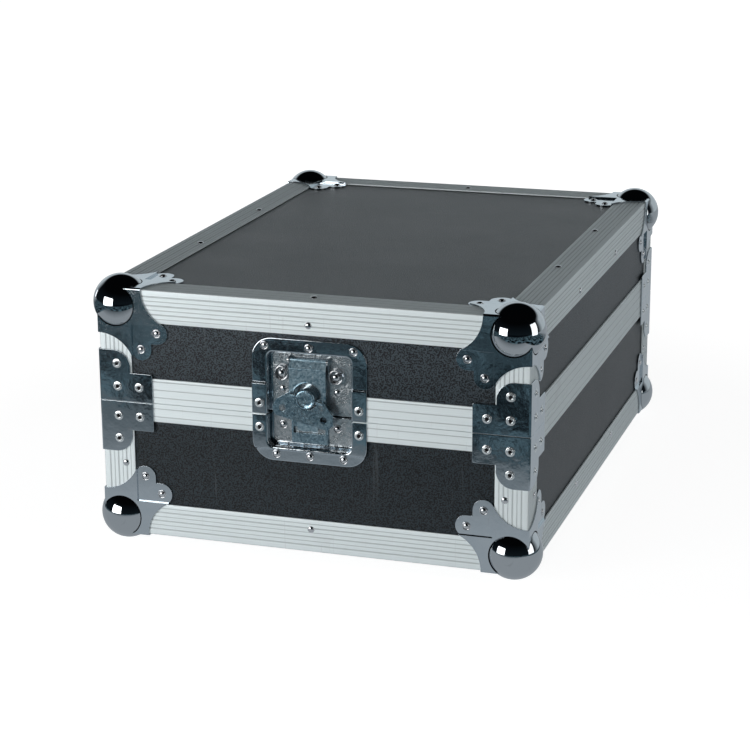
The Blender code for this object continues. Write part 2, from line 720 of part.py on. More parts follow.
def base_dish_mesh(steel):
    """Return the lower dish half with the keeper: a raised plate whose window takes the hook's nose."""
    half = DISH_WIDTH / 2
    inner = half - DISH_ROUND
    chin = -DISH_BOTTOM + DISH_ROUND
    outline = [(-half, -DISH_SPLIT_GAP)] + arc((-inner, chin), DISH_ROUND, 180, 270)
    outline += arc((inner, chin), DISH_ROUND, 270, 360) + [(half, -DISH_SPLIT_GAP)]
    dish = dish_half(outline, BASE_JOGGLE, -1, PAN_BOTTOM)
    x = LATCH_OFFSET
    half_plate = HOOK_WIDTH / 2
    half_flange = KEEPER_FLANGE_WIDTH / 2
    inside = PAN_FLOOR + WELD_DEPTH
    flange_low = KEEPER_TOP - KEEPER_FLANGE_HEIGHT
    hollow = half_plate - SHEET
    window = half_plate - WINDOW_SIDE
    keeper = fuse(
        box((x - half_plate, KEEPER_FACE, KEEPER_BOTTOM), (x + half_plate, inside, KEEPER_TOP)),
        box((x - half_flange, HINGE_PLATE_FACE, flange_low), (x + half_flange, inside, KEEPER_TOP - SHEET)),
    )
    keeper = cut(
        keeper,
        box((x - hollow, KEEPER_FACE + SHEET, KEEPER_BOTTOM - BEYOND), (x + hollow, inside + BEYOND, BEYOND)),
        box((x - window, KEEPER_FACE - BEYOND, WINDOW_TOP - WINDOW_HEIGHT), (x + window, inside, WINDOW_TOP)),
    )
    return take_mesh(fuse(dish, keeper), "base_latch_dish", steel)


def hook_mesh(steel):
    """Return the hook plate about its pivot: a leaning tab, a round eye, a narrow tongue and a nose."""
    nose_tip = KEEPER_FACE - FIT_GAP
    profile = [
        (HOOK_FACE, HOOK_NOSE_BOTTOM),
        (nose_tip, HOOK_NOSE_BOTTOM),
        (nose_tip, NOSE_TOP),
        (HOOK_BACK, NOSE_TOP),
        (HOOK_BACK, HOOK_TAB_FOOT),
        (HOOK_BACK + HOOK_TAB_LEAN, HOOK_TAB_TOP),
        (HOOK_FACE + HOOK_TAB_LEAN, HOOK_TAB_TOP),
        (HOOK_FACE, HOOK_TAB_FOOT),
    ]
    moved = [(d - HOOK_PIVOT_DEPTH, v - HOOK_PIVOT_HEIGHT) for d, v in profile]
    half = HOOK_WIDTH / 2
    half_tongue = HOOK_TONGUE_WIDTH / 2
    hook = slab(moved, -half, half, (0, 1, 0), (0, 0, 1))
    low = HOOK_NOSE_BOTTOM - HOOK_PIVOT_HEIGHT - BEYOND
    high = HOOK_TONGUE_TOP - HOOK_PIVOT_HEIGHT
    for side in (-1, 1):
        inner, outer = sorted((side * half_tongue, side * (half + BEYOND)))
        hook = cut(hook, box((inner, -WELL_BEYOND, low), (outer, WELL_BEYOND, high)))
    eye_z = SPINDLE_HEIGHT - HOOK_PIVOT_HEIGHT
    eye = rod((0, -WELL_BEYOND, eye_z), (0, WELL_BEYOND, eye_z), HOOK_EYE_RADIUS, steps=BOSS_STEPS)
    hook = cut(hook, eye)
    pin_half = half + FIT_GAP + EAR_WALL + FIT_GAP
    hook = fuse(hook, rod((-pin_half, 0, 0), (pin_half, 0, 0), HOOK_PIN_RADIUS, steps=PIN_STEPS))
    return take_mesh(hook, "latch_hook", steel)


def spindle_mesh(steel):
    """Return the spindle about its axis: a boss, a neck through the hinge plate and a riveted tail."""
    front = HINGE_PLATE_FACE - FIT_GAP
    tail = PAN_BACK + FIT_GAP
    chamfer = SHEET / 2
    spindle = turned([
        (0.0, BOSS_FACE),
        (BOSS_RADIUS - chamfer, BOSS_FACE),
        (BOSS_RADIUS, BOSS_FACE + chamfer),
        (BOSS_RADIUS, front),
        (NECK_RADIUS, front),
        (NECK_RADIUS, tail),
        (TAIL_RADIUS, tail),
        (TAIL_RADIUS, tail + TAIL_THICKNESS),
        (0.0, tail + TAIL_THICKNESS),
    ])
    tilt = Matrix.Rotation(WING_TILT, 4, "Y")
    bore = rod(
        tilt @ Vector((-BOSS_RADIUS - BEYOND, WING_AXIS_DEPTH, 0)),
        tilt @ Vector((BOSS_RADIUS + BEYOND, WING_AXIS_DEPTH, 0)),
        WING_PIN_RADIUS + FIT_GAP,
        steps=PIN_STEPS,
    )
    return take_mesh(cut(spindle, bore), "latch_spindle", steel, SMOOTH_BELOW)


def wing_mesh(steel):
    """Return the wing about its fold axis: a plate notched round the boss, with a pin stub at each side."""
    notch = math.hypot(BOSS_RADIUS, WING_AXIS_DEPTH - BOSS_FACE) + WING_SWING_GAP
    chin = math.degrees(math.asin(WING_TOP / notch))
    right = [
        (SHOULDER_HALF, WING_TOP),
        (CHEEK_HALF, -CHEEK_DROP),
        (TIP_HALF, -TIP_DROP),
        (CHIN_HALF, -CHIN_DROP),
    ]
    outline = right + [(-a, b) for a, b in reversed(right)]
    outline += arc((0, 0), notch, 180 - chin, 360 + chin, 2 * ARC_STEPS + 2)
    half = WING_SHEET / 2
    wing = slab(outline, -half, half, (1, 0, 0), (0, 0, 1))
    for side in (-1, 1):
        hole = side * WING_HOLE_HALF
        front = (hole, -BEYOND, -WING_HOLE_DROP)
        back = (hole, BEYOND, -WING_HOLE_DROP)
        wing = cut(wing, rod(front, back, WING_HOLE_RADIUS, steps=BORE_STEPS))
        inner = side * (BOSS_RADIUS - WING_PIN_LENGTH)
        outer = side * (notch + KNUCKLE_RADIUS)
        knuckle_in = side * (BOSS_RADIUS + WING_SWING_GAP)
        wing = fuse(
            wing,
            rod((knuckle_in, 0, 0), (side * SHOULDER_HALF, 0, 0), KNUCKLE_RADIUS, steps=PIN_STEPS),
            rod((inner, 0, 0), (outer, 0, 0), WING_PIN_RADIUS, steps=PIN_STEPS),
        )
    return take_mesh(wing, "latch_wing", steel)


def add_latches(lid, base, chrome, zinc):
    """Two butterfly latches, at the front and, turned half round, at the back."""
    upper = lid_dish_mesh(chrome)
    lower = base_dish_mesh(chrome)
    hook = hook_mesh(zinc)
    spindle = spindle_mesh(zinc)
    wing = wing_mesh(zinc)
    for side, y, turn in (("front", -CASE_DEPTH / 2, 0.0), ("back", CASE_DEPTH / 2, math.pi)):
        lid_seat = add_empty("lid_latch_" + side, (0, y, SPLIT_Z), (0, 0, turn), lid)
        base_seat = add_empty("base_latch_" + side, (0, y, SPLIT_Z), (0, 0, turn), base)
        add_part("lid_latch_dish_" + side, upper, lid_seat)
        add_part("base_latch_dish_" + side, lower, base_seat)
        x = LATCH_OFFSET
        add_part("latch_hook_" + side, hook, lid_seat, (x, HOOK_PIVOT_DEPTH, HOOK_PIVOT_HEIGHT))
        axle = add_part("latch_spindle_" + side, spindle, lid_seat, (x, 0, SPINDLE_HEIGHT))
        add_part("latch_wing_" + side, wing, axle, (0, WING_AXIS_DEPTH, 0), (0, WING_TILT, 0))


def handle_pan_block(gap, depth):
    """Return the block that the handle's pan fills, grown by a gap, from the split's height."""
    half_y = HANDLE_PAN_WIDTH / 2 + SHEET + gap
    half_z = HANDLE_PAN_HEIGHT / 2 + SHEET + gap
    x = -CASE_WIDTH / 2
    z = HANDLE_Z - SPLIT_Z
    return box((x - BEYOND, -half_y, z - half_z), (x + depth, half_y, z + half_z))


def add_handle(base, chrome, zinc):
    """Recessed handle: a dish, and a bail with its thick grip that swings out from the upper pivots."""
    half_y = HANDLE_WIDTH / 2
    half_z = HANDLE_HEIGHT / 2
    inner_y = half_y - HANDLE_ROUND
    inner_z = half_z - HANDLE_ROUND
    outline = []
    for quarter, (sy, sz) in enumerate(((1, 1), (-1, 1), (-1, -1), (1, -1))):
        start = 90 * quarter
        outline += arc((sy * inner_y, sz * inner_z), HANDLE_ROUND, start, start + 90, CORNER_STEPS)
    pan_y = HANDLE_PAN_WIDTH / 2
    pan_z = HANDLE_PAN_HEIGHT / 2
    back = HANDLE_PAN_DEPTH + SHEET
    dish = fuse(
        slab(outline, FLANGE_DEPTH, PANEL_INSET - FIT_GAP, (0, 1, 0), (0, 0, 1)),
        box((FLANGE_DEPTH + SHEET / 2, -pan_y - SHEET, -pan_z - SHEET), (back, pan_y + SHEET, pan_z + SHEET)),
    )
    dish = cut(dish, box((-BEYOND, -pan_y, -pan_z), (HANDLE_PAN_DEPTH, pan_y, pan_z)))
    reach = pan_y + BEYOND
    near = (BAIL_AXIS_DEPTH, -reach, BAIL_AXIS_RISE)
    far = (BAIL_AXIS_DEPTH, reach, BAIL_AXIS_RISE)
    dish = cut(dish, rod(near, far, BAIL_RADIUS + FIT_GAP, steps=BORE_STEPS))
    seat = add_empty("handle_seat", (-CASE_WIDTH / 2, 0, HANDLE_Z), (0, 0, 0), base)
    add_part("handle_dish", take_mesh(dish, "handle_dish", chrome), seat)

    trunnion = pan_y + SHEET
    leg = BAIL_WIDTH / 2
    path = [(-trunnion, 0)]
    path += arc((-leg - BAIL_BEND, -BAIL_BEND), BAIL_BEND, 90, 0, CORNER_STEPS)
    path += arc((-leg + BAIL_BEND, -BAIL_REACH + BAIL_BEND), BAIL_BEND, 180, 270, CORNER_STEPS)
    path += [(-y, z) for y, z in reversed(path)]
    curve = bpy.data.curves.new("bail_line", "CURVE")
    curve.dimensions = "3D"
    curve.bevel_depth = BAIL_RADIUS
    curve.bevel_resolution = 2
    curve.use_fill_caps = True
    spline = curve.splines.new("POLY")
    spline.points.add(len(path) - 1)
    for point, (y, z) in zip(spline.points, path):
        point.co = (0, y, z, 1)
    wire = bpy.data.objects.new("bail_line", curve)
    workshop.objects.link(wire)
    half = GRIP_LENGTH / 2
    grip = rod((0, -half, -BAIL_REACH), (0, half, -BAIL_REACH), GRIP_RADIUS)
    bail = fuse(tool_from_bmesh(take_curve(wire)), grip)
    mesh = take_mesh(bail, "handle_bail", zinc, SMOOTH_BELOW)
    add_part("handle_bail", mesh, seat, (BAIL_AXIS_DEPTH, 0, BAIL_AXIS_RISE))


def add_foam(lid, base, foam):
    """Foam pads: one on the bottom, which the mixer stands on, and one under the lid's top."""
    reach = PANEL_INNER + FIT_GAP
    for name, parent, low in (
        ("base_foam_pad", base, -BASE_HEIGHT + reach),
        ("lid_foam_pad", lid, LID_HEIGHT - reach - FOAM_THICKNESS),
    ):
        pad = inset_box(reach, low, low + FOAM_THICKNESS)
        add_part(name, take_mesh(pad, name, foam), parent, (0, 0, SPLIT_Z))


def build_case():
    """Build the whole case."""
    clear_scene()
    laminate = make_material("laminate", (0.055, 0.058, 0.062), 0.55, 0.0)
    aluminium = make_material("aluminium", (0.78, 0.80, 0.80), 0.32, 1.0)
    chrome = make_material("chrome", (0.62, 0.63, 0.66), 0.12, 1.0)
    zinc = make_material("zinc", (0.50, 0.54, 0.58), 0.28, 1.0)
    foam = make_material("foam", (0.05, 0.05, 0.055), 0.95, 0.0)
    base = add_empty("base")
    lid = add_empty("lid")
    add_panels(lid, base, laminate)
    add_closing_frames(lid, base, aluminium)
    add_edges(lid, base, aluminium)
    add_ball_corners(lid, base, chrome)
    add_braces(lid, base, chrome)
    add_latches(lid, base, chrome, zinc)
    add_handle(base, chrome, zinc)
    add_foam(lid, base, foam)


build_case()
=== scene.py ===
# %% [markdown]
# # A flight case for a DJ mixer
#
# Nearly everything on this case is bought by the metre or by the piece: ridged aluminium angle, pressed
# ball corners, corner braces, a recessed butterfly latch, rivets. The script follows that order. It first
# writes the few finishes, then the helpers that cut, fold and press sheet metal, and then the pieces from
# the outside in. The CAD model is a fixed frame, so a piece is made at its true place and only says which
# body carries it.

import json
import math

import bmesh
import bpy
from mathutils import Matrix, Vector, noise

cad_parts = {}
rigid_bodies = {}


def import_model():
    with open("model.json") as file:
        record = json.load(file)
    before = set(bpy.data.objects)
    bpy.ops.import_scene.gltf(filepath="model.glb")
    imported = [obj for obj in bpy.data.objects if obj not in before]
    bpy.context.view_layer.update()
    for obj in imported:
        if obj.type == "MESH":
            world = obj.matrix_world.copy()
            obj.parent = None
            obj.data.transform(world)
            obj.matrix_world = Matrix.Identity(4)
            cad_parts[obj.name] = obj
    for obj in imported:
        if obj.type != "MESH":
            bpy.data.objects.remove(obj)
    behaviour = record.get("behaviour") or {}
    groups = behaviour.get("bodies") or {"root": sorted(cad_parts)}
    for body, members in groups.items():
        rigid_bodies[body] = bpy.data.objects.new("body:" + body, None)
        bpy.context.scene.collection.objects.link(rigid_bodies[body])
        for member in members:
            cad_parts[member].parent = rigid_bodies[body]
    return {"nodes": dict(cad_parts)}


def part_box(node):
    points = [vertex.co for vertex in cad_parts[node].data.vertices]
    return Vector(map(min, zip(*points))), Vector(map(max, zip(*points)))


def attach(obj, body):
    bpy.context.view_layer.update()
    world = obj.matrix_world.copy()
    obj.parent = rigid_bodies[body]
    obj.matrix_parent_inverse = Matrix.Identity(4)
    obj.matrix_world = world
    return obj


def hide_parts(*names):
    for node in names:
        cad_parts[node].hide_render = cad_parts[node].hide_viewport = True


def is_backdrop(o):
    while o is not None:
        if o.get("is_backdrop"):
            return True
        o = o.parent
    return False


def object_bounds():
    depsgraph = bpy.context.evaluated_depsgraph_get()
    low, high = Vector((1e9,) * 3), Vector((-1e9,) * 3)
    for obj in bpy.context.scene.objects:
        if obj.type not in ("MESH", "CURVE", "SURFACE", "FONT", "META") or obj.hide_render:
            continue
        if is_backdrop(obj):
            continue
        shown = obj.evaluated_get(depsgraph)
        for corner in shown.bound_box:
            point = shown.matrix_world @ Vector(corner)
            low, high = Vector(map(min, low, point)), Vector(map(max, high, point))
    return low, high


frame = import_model()
cad_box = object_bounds()
print("box of the frame:", [round(c, 4) for corner in cad_box for c in corner])

# %% [markdown]
# ## Sizes taken over from the frame
#
# The pieces below meet the CAD model at a few planes: the outer faces of the edging, the split between base
# and lid, and the faces of the panels. They are written once here, in metres, and every piece is drawn from
# them. Small tables of points are easier to read in millimetres, so `in_mm` turns them into metres.
# Printing a measured box next to the sizes shows at once whether the two still agree.

# %% Shared sizes
MM = 0.001
GAP = 0.3 * MM
SHEET = 1.2 * MM
HALF_WIDTH = 197.5 * MM
HALF_DEPTH = 269.5 * MM
UNDERSIDE_Z = 9 * MM
SPLIT_Z = 134 * MM
TOP_Z = 238 * MM
LEG = 30 * MM
WALL = 1.5 * MM
PANEL_FACE = 1.8 * MM
LID_FRAME_RISE = 22.7 * MM
BASE_FRAME_DROP = 17.2 * MM
CORNERS = {"back_right": 0, "back_left": 1, "front_left": 2, "front_right": 3}
ACROSS, INWARDS, UP = (1, 0, 0), (0, 1, 0), (0, 0, 1)


def in_mm(*rows):
    """Return rows of lengths, written in millimetres, in metres."""
    return [tuple(length * MM for length in row) for row in rows]


low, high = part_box("lid_top_edge_front")
print("front top edge: outer face at", round(low.y, 4), "and top at", round(high.z, 4))

# %% [markdown]
# ## Shader groups
#
# Chrome, zinc, aluminium and laminate share a few effects: a fine grain, scratches from handling, a little
# dust that settles on what faces up, and the crystals of plated metal. Each effect is one node group with
# named sizes, so that every material can use it with its own values. A group only puts out numbers that
# change over the surface; the Principled shader itself stays in the material.

# %% Small helpers for nodes
def add_node(tree, kind, inputs=None, **settings):
    """Add a node with settings, and give its inputs, by name or number, values, a link or a list of links."""
    node = tree.nodes.new(kind)
    for name, value in settings.items():
        setattr(node, name, value)
    for key, value in (inputs or {}).items():
        for item in value if isinstance(value, list) else [value]:
            if isinstance(item, bpy.types.NodeSocket):
                tree.links.new(item, node.inputs[key])
            else:
                node.inputs[key].default_value = item
    return node


def output_of(tree, kind, inputs=None, **settings):
    """Add a node and return its first output."""
    return add_node(tree, kind, inputs, **settings).outputs[0]


def maths(tree, operation, first, second=0.0, clamp=False):
    """Return the result of one Math node."""
    return output_of(tree, "ShaderNodeMath", {0: first, 1: second}, operation=operation, use_clamp=clamp)


def spread(tree, value, low, high, new_low=0.0, new_high=1.0):
    """Return a value stretched from between low and high to a new range, and held there."""
    inputs = {"Value": value, "From Min": low, "From Max": high, "To Min": new_low, "To Max": new_high}
    return output_of(tree, "ShaderNodeMapRange", inputs)


def noise_of(tree, place, scale, detail):
    """Return a noise of a scale."""
    return output_of(tree, "ShaderNodeTexNoise", {"Vector": place, "Scale": scale, "Detail": detail})


def parts_of(tree, vector):
    """Return the X, Y and Z of a vector."""
    return add_node(tree, "ShaderNodeSeparateXYZ", {0: vector}).outputs


def new_group(name, inputs, outputs, kind="ShaderNodeTree"):
    """Make a node group and return it with its given values and its results.

    An input is named with its usual value, or with its kind where it has none.
    """
    tree = bpy.data.node_groups.new(name, kind)
    for label, value in inputs.items():
        shape = value if isinstance(value, str) else type(value).__name__.capitalize()
        socket = tree.interface.new_socket(label, in_out="INPUT", socket_type="NodeSocket" + shape)
        if not isinstance(value, str):
            socket.default_value = value
    for label, shape in outputs.items():
        tree.interface.new_socket(label, in_out="OUTPUT", socket_type="NodeSocket" + shape)
    return tree, tree.nodes.new("NodeGroupInput").outputs, tree.nodes.new("NodeGroupOutput").inputs


# %% Grain: even specks of one size
grain_group, given, result = new_group(
    "grain", {"Vector": "Vector", "Scale": 700.0, "Softness": 0.3}, {"Value": "Float"}
)
fine = noise_of(grain_group, given[0], given[1], 2.0)
strong = maths(grain_group, "DIVIDE", maths(grain_group, "SUBTRACT", fine, 0.5), given[2])
grain_group.links.new(maths(grain_group, "ADD", strong, 0.5, clamp=True), result[0])

# %% Scratches: thin broken lines in two directions
scratch_group, given, result = new_group(
    "scratches", {"Vector": "Vector", "Scale": 40.0, "Amount": 0.5}, {"Mask": "Float"}
)
lines = []
for turn, stretch in ((0.35, (1.0, 22.0, 1.0)), (-0.9, (20.0, 1.0, 1.0))):
    inputs = {"Vector": given[0], "Rotation": (turn, turn * 0.6, turn), "Scale": stretch}
    turned = output_of(scratch_group, "ShaderNodeMapping", inputs)
    lines.append(spread(scratch_group, noise_of(scratch_group, turned, given[1], 3.0), 0.66, 0.74))
either = maths(scratch_group, "MAXIMUM", *lines)
scratch_group.links.new(maths(scratch_group, "MULTIPLY", either, given[2]), result[0])

# %% Dust: patches on faces that look up
dust_group, given, result = new_group("dust", {"Vector": "Vector", "Amount": 0.3}, {"Mask": "Float"})
facing = add_node(dust_group, "ShaderNodeNewGeometry").outputs["Normal"]
upward = spread(dust_group, parts_of(dust_group, facing)[2], 0.2, 0.95)
patches = spread(dust_group, noise_of(dust_group, given[0], 14.0, 6.0), 0.35, 0.75)
dusty = maths(dust_group, "MULTIPLY", upward, patches)
dust_group.links.new(maths(dust_group, "MULTIPLY", dusty, given[1]), result[0])

# %% Spangle: the crystal patches of plated metal
spangle_group, given, result = new_group(
    "spangle", {"Vector": "Vector", "Scale": 350.0}, {"Value": "Float", "Fine": "Float"}
)
cells = add_node(spangle_group, "ShaderNodeTexVoronoi", {"Vector": given[0], "Scale": given[1]})
crystal = add_node(spangle_group, "ShaderNodeSeparateColor", {0: cells.outputs["Color"]}).outputs
clouds = spread(spangle_group, noise_of(spangle_group, given[0], given[1], 4.0), 0.3, 0.7)
mixed = maths(spangle_group, "ADD", crystal[0], clouds)
spangle_group.links.new(maths(spangle_group, "MULTIPLY", mixed, 0.5), result[0])
spangle_group.links.new(crystal[1], result[1])
print("shader groups:", [group.name for group in bpy.data.node_groups])

# %% [markdown]
# ## Finishes
#
# The panels are plywood with a dark pebbled laminate: close up it is a field of light and dark specks, with
# a low bump that spreads the light, and the upper part of the case is painted a little lighter than the
# lower, as painted light from above.
# The aluminium is drawn through a die, which leaves streaks along the length of the bar and a satin gloss,
# and the bottoms of its grooves are painted darker, as painted shade. The hardware is plated steel: chrome
# on the corners, braces and dishes, with a faint waviness from pressing, nickel on the plates inside the
# latch, and blue zinc with its crystals on the spindle, the wing and the handle's bail. The hook has the
# same zinc in a paler tone.

# %% Helpers for materials
def new_material(name, base, roughness, metallic=0.0, specular=0.5):
    """Return a material, its node tree and the place on the piece in metres.

    Values that are the same all over stay on the shader's own sockets.
    """
    made = bpy.data.materials.new(name)
    made.use_nodes = True
    made.diffuse_color = (*base, 1.0)
    sockets = made.node_tree.nodes["Principled BSDF"].inputs
    sockets["Base Color"].default_value = (*base, 1.0)
    sockets["Roughness"].default_value = roughness
    sockets["Metallic"].default_value = metallic
    sockets["Specular IOR Level"].default_value = specular
    return made, made.node_tree, place_of(made.node_tree)


def place_of(tree):
    """Return the place on the piece, in metres."""
    return tree.nodes.new("ShaderNodeTexCoord").outputs["Object"]


def place_group(tree, group, **inputs):
    """Place a shader group in a material and return its outputs."""
    return add_node(tree, "ShaderNodeGroup", inputs, node_tree=group).outputs


def grain(tree, place, scale, softness):
    """Return grain of a scale. The lower the softness, the more the specks stand out."""
    return place_group(tree, grain_group, Vector=place, Scale=scale, Softness=softness)[0]


def scratches(tree, place, scale, amount):
    """Return the mask of the scratches."""
    return place_group(tree, scratch_group, Vector=place, Scale=scale, Amount=amount)[0]


def colour_between(tree, factor, first, second):
    """Return a colour that goes from the first to the second as the factor rises."""
    colours = [item if isinstance(item, bpy.types.NodeSocket) else (*item, 1.0) for item in (first, second)]
    mix = add_node(tree, "ShaderNodeMix", {"Factor": factor, 6: colours[0], 7: colours[1]}, data_type="RGBA")
    return mix.outputs[2]


def drive(tree, tone, gloss, relief, depth):
    """Let a tone, a roughness if there is one, and a relief of a depth in metres drive the shader."""
    shader = tree.nodes["Principled BSDF"]
    tree.links.new(tone, shader.inputs["Base Color"])
    if gloss is not None:
        tree.links.new(gloss, shader.inputs["Roughness"])
    lifted = output_of(tree, "ShaderNodeBump", {"Height": relief, "Distance": depth, "Strength": 1.0})
    tree.links.new(lifted, shader.inputs["Normal"])


# %% Laminate on the panels
laminate, tree, place = new_material("pebbled_laminate", (0.05, 0.053, 0.058), 0.5, specular=0.4)
specks = grain(tree, place, 780.0, 0.10)
broad = grain(tree, place, 9.0, 1.6)
marks = scratches(tree, place, 9.0, 0.35)
dust = place_group(tree, dust_group, Vector=place, Amount=0.10)[0]
# The upper part of the case is painted lighter than the lower: painted light from above.
painted_light_above = spread(tree, parts_of(tree, place)[2], 0.10, 0.20)
shaded_lower_sheet = colour_between(tree, specks, (0.0005, 0.001, 0.0015), (0.018, 0.027, 0.034))
lit_upper_sheet = colour_between(tree, specks, (0.002, 0.003, 0.005), (0.046, 0.062, 0.074))
marked = colour_between(tree, marks, colour_between(tree, painted_light_above, shaded_lower_sheet, lit_upper_sheet), (0.07, 0.08, 0.088))
dusted = colour_between(tree, dust, marked, (0.30, 0.30, 0.29))
gloss = maths(tree, "ADD", spread(tree, broad, 0.0, 1.0, 0.30, 0.38), maths(tree, "MULTIPLY", specks, 0.08))
drive(tree, dusted, gloss, specks, 0.12 * MM)

# %% Drawn aluminium, with the length of the bar and its grooves in two attributes
aluminium, tree, place = new_material("drawn_aluminium", (0.78, 0.82, 0.84), 0.5, 0.32, 0.2)
along = add_node(tree, "ShaderNodeAttribute", attribute_name="grain").outputs["Vector"]
drawn = output_of(tree, "ShaderNodeMapping", {"Vector": along, "Scale": (2.2, 900.0, 1.0)})
streaks = grain(tree, drawn, 1.0, 0.6)
marks = scratches(tree, place, 26.0, 0.5)
cloudy = grain(tree, place, 24.0, 1.2)
drawn_tone = colour_between(tree, streaks, (0.72, 0.79, 0.81), (0.80, 0.87, 0.88))
marked = colour_between(tree, marks, drawn_tone, (0.66, 0.70, 0.72))
# The bottoms of the grooves are painted darker: painted shade in the grooves.
groove = add_node(tree, "ShaderNodeAttribute", attribute_name="groove").outputs["Fac"]
groove_shade = maths(tree, "MULTIPLY", groove, spread(tree, cloudy, 0.0, 1.0, 0.75, 1.0))
tone = colour_between(tree, groove_shade, marked, (0.46, 0.50, 0.51))
unevenness = spread(tree, cloudy, 0.0, 1.0, -0.03, 0.05)
satin = maths(tree, "ADD", spread(tree, streaks, 0.0, 1.0, 0.46, 0.56), unevenness)
drive(tree, tone, satin, streaks, 0.012 * MM)

# %% Chrome plate on pressed steel
chrome, tree, place = new_material("pressed_chrome", (0.62, 0.635, 0.665), 0.08, 1.0)
waves = grain(tree, place, 70.0, 1.3)
pits = grain(tree, place, 420.0, 0.8)
marks = scratches(tree, place, 60.0, 0.5)
cool = colour_between(tree, waves, (0.50, 0.57, 0.62), (0.63, 0.67, 0.70))
tone = colour_between(tree, marks, cool, (0.50, 0.51, 0.53))
blur = maths(tree, "ADD", spread(tree, pits, 0.0, 1.0, 0.05, 0.15), maths(tree, "MULTIPLY", marks, 0.2))
drive(tree, tone, blur, maths(tree, "ADD", waves, maths(tree, "MULTIPLY", pits, 0.10)), 0.28 * MM)

# %% Chrome on the balls, which are polished smoother than the flat plates
mirror, tree, place = new_material("polished_ball", (0.52, 0.55, 0.575), 0.05, 1.0)
pits = grain(tree, place, 260.0, 0.9)
marks = scratches(tree, place, 55.0, 0.4)
tone = colour_between(tree, marks, (0.52, 0.55, 0.575), (0.42, 0.44, 0.46))
blur = maths(tree, "ADD", spread(tree, pits, 0.0, 1.0, 0.025, 0.06), maths(tree, "MULTIPLY", marks, 0.12))
drive(tree, tone, blur, pits, 0.004 * MM)


# %% Blue zinc plate with its crystals
def zinc_plate(name, metallic):
    """Return blue zinc plate. A lower metallic value gives a paler, more chalky tone."""
    finish, tree, place = new_material(name, (0.50, 0.55, 0.60), 0.3, metallic)
    crystals = place_group(tree, spangle_group, Vector=place, Scale=620.0)
    patch = colour_between(tree, crystals[0], (0.07, 0.17, 0.24), (0.52, 0.68, 0.76))
    tone = colour_between(tree, scratches(tree, place, 80.0, 0.6), patch, (0.75, 0.77, 0.78))
    drive(tree, tone, spread(tree, crystals[1], 0.0, 1.0, 0.12, 0.24), crystals[1], 0.012 * MM)
    return finish


zinc = zinc_plate("blue_zinc_plate", 0.86)
pale_zinc = zinc_plate("pale_zinc_plate", 0.70)

# %% Bright nickel on the plates inside the latch
nickel, tree, place = new_material("bright_nickel", (0.60, 0.62, 0.63), 0.2, 0.94)
waves = grain(tree, place, 70.0, 0.6)
crystals = place_group(tree, spangle_group, Vector=place, Scale=900.0)
tone = colour_between(tree, waves, (0.56, 0.60, 0.62), (0.78, 0.80, 0.81))
drive(tree, tone, spread(tree, crystals[1], 0.0, 1.0, 0.15, 0.26), waves, 0.5 * MM)


# %% Rivets, the painted shade in their holes, and the grip: one grain drives all of the finish
def speckled(name, base, roughness, metallic, specular, scale, softness, tones, gloss, depth):
    """Return a material whose tone, roughness and relief follow one grain."""
    finish, tree, place = new_material(name, base, roughness, metallic, specular)
    pits = grain(tree, place, scale, softness)
    blur = gloss and spread(tree, pits, 0.0, 1.0, *gloss)
    drive(tree, colour_between(tree, pits, *tones), blur, pits, depth)
    return finish


bright = speckled(
    "rivet_steel", (0.72, 0.73, 0.74), 0.16, 1.0, 0.5, 900.0, 0.8,
    ((0.60, 0.61, 0.63), (0.78, 0.79, 0.80)), (0.10, 0.24), 0.02 * MM,
)
satin_rivet = speckled(
    "satin_rivet", (0.80, 0.84, 0.85), 0.2, 0.88, 0.5, 1200.0, 0.8,
    ((0.70, 0.74, 0.75), (0.88, 0.91, 0.92)), (0.16, 0.30), 0.006 * MM,
)
# The hole of a blind rivet is drawn as a near-black dome: painted shade in the hole.
hole_shade = speckled(
    "painted_hole_shade", (0.006, 0.006, 0.007), 0.9, 0.0, 0.1, 1500.0, 0.7,
    ((0.003, 0.003, 0.004), (0.012, 0.012, 0.013)), None, 0.03 * MM,
)
grip_rubber = speckled(
    "grip_rubber", (0.022, 0.022, 0.024), 0.62, 0.0, 0.5, 1100.0, 0.7,
    ((0.014, 0.014, 0.016), (0.035, 0.035, 0.038)), (0.52, 0.74), 0.04 * MM,
)

# %% Foam
foam, tree, place = new_material("closed_cell_foam", (0.03, 0.03, 0.033), 0.95)
bubbles = output_of(tree, "ShaderNodeTexVoronoi", {"Vector": place, "Scale": 900.0})
dust = place_group(tree, dust_group, Vector=place, Amount=0.2)[0]
celled = colour_between(tree, spread(tree, bubbles, 0.0, 0.7), (0.012, 0.012, 0.014), (0.05, 0.05, 0.054))
drive(tree, colour_between(tree, dust, celled, (0.14, 0.14, 0.135)), None, bubbles, 0.25 * MM)
print("materials:", len(bpy.data.materials))

# %% [markdown]
# ## Working sheet metal
#
# A pressed part starts as a flat outline, is cut and folded, and leaves the press with softened edges. The
# helpers do the same: `plate` gives an outline its thickness, `unite`, `trim` and `keep_inside` are exact
# Booleans, and `soften` breaks every sharp edge with a small bevel, because the thin bright line on a metal
# edge is what tells the eye that it is sheet. Weighted normals keep the flats flat beside those bevels. A
# finished mesh is moved to its place in its own data, and its object stays at the origin.

# %% The bench, where meshes are worked before they become pieces
bench = bpy.data.collections.new("bench")
bpy.context.scene.collection.children.link(bench)


def bmesh_of(*meshes):
    """Return a bmesh that holds copies of meshes."""
    bm = bmesh.new()
    for mesh in meshes:
        bm.from_mesh(mesh)
    return bm


def mesh_of(bm, mesh=None):
    """Write a bmesh into a mesh, a new one if none is given, and return the mesh."""
    if mesh is None:
        mesh = bpy.data.meshes.new("blank")
    bm.to_mesh(mesh)
    bm.free()
    return mesh


def on_bench(data):
    """Return an object on the bench for a mesh or a curve."""
    item = bpy.data.objects.new("blank", data)
    bench.objects.link(item)
    return item


def solid(bm):
    """Turn a bmesh into an object on the bench, with its faces pointing outwards."""
    bmesh.ops.recalc_face_normals(bm, faces=bm.faces)
    return on_bench(mesh_of(bm))


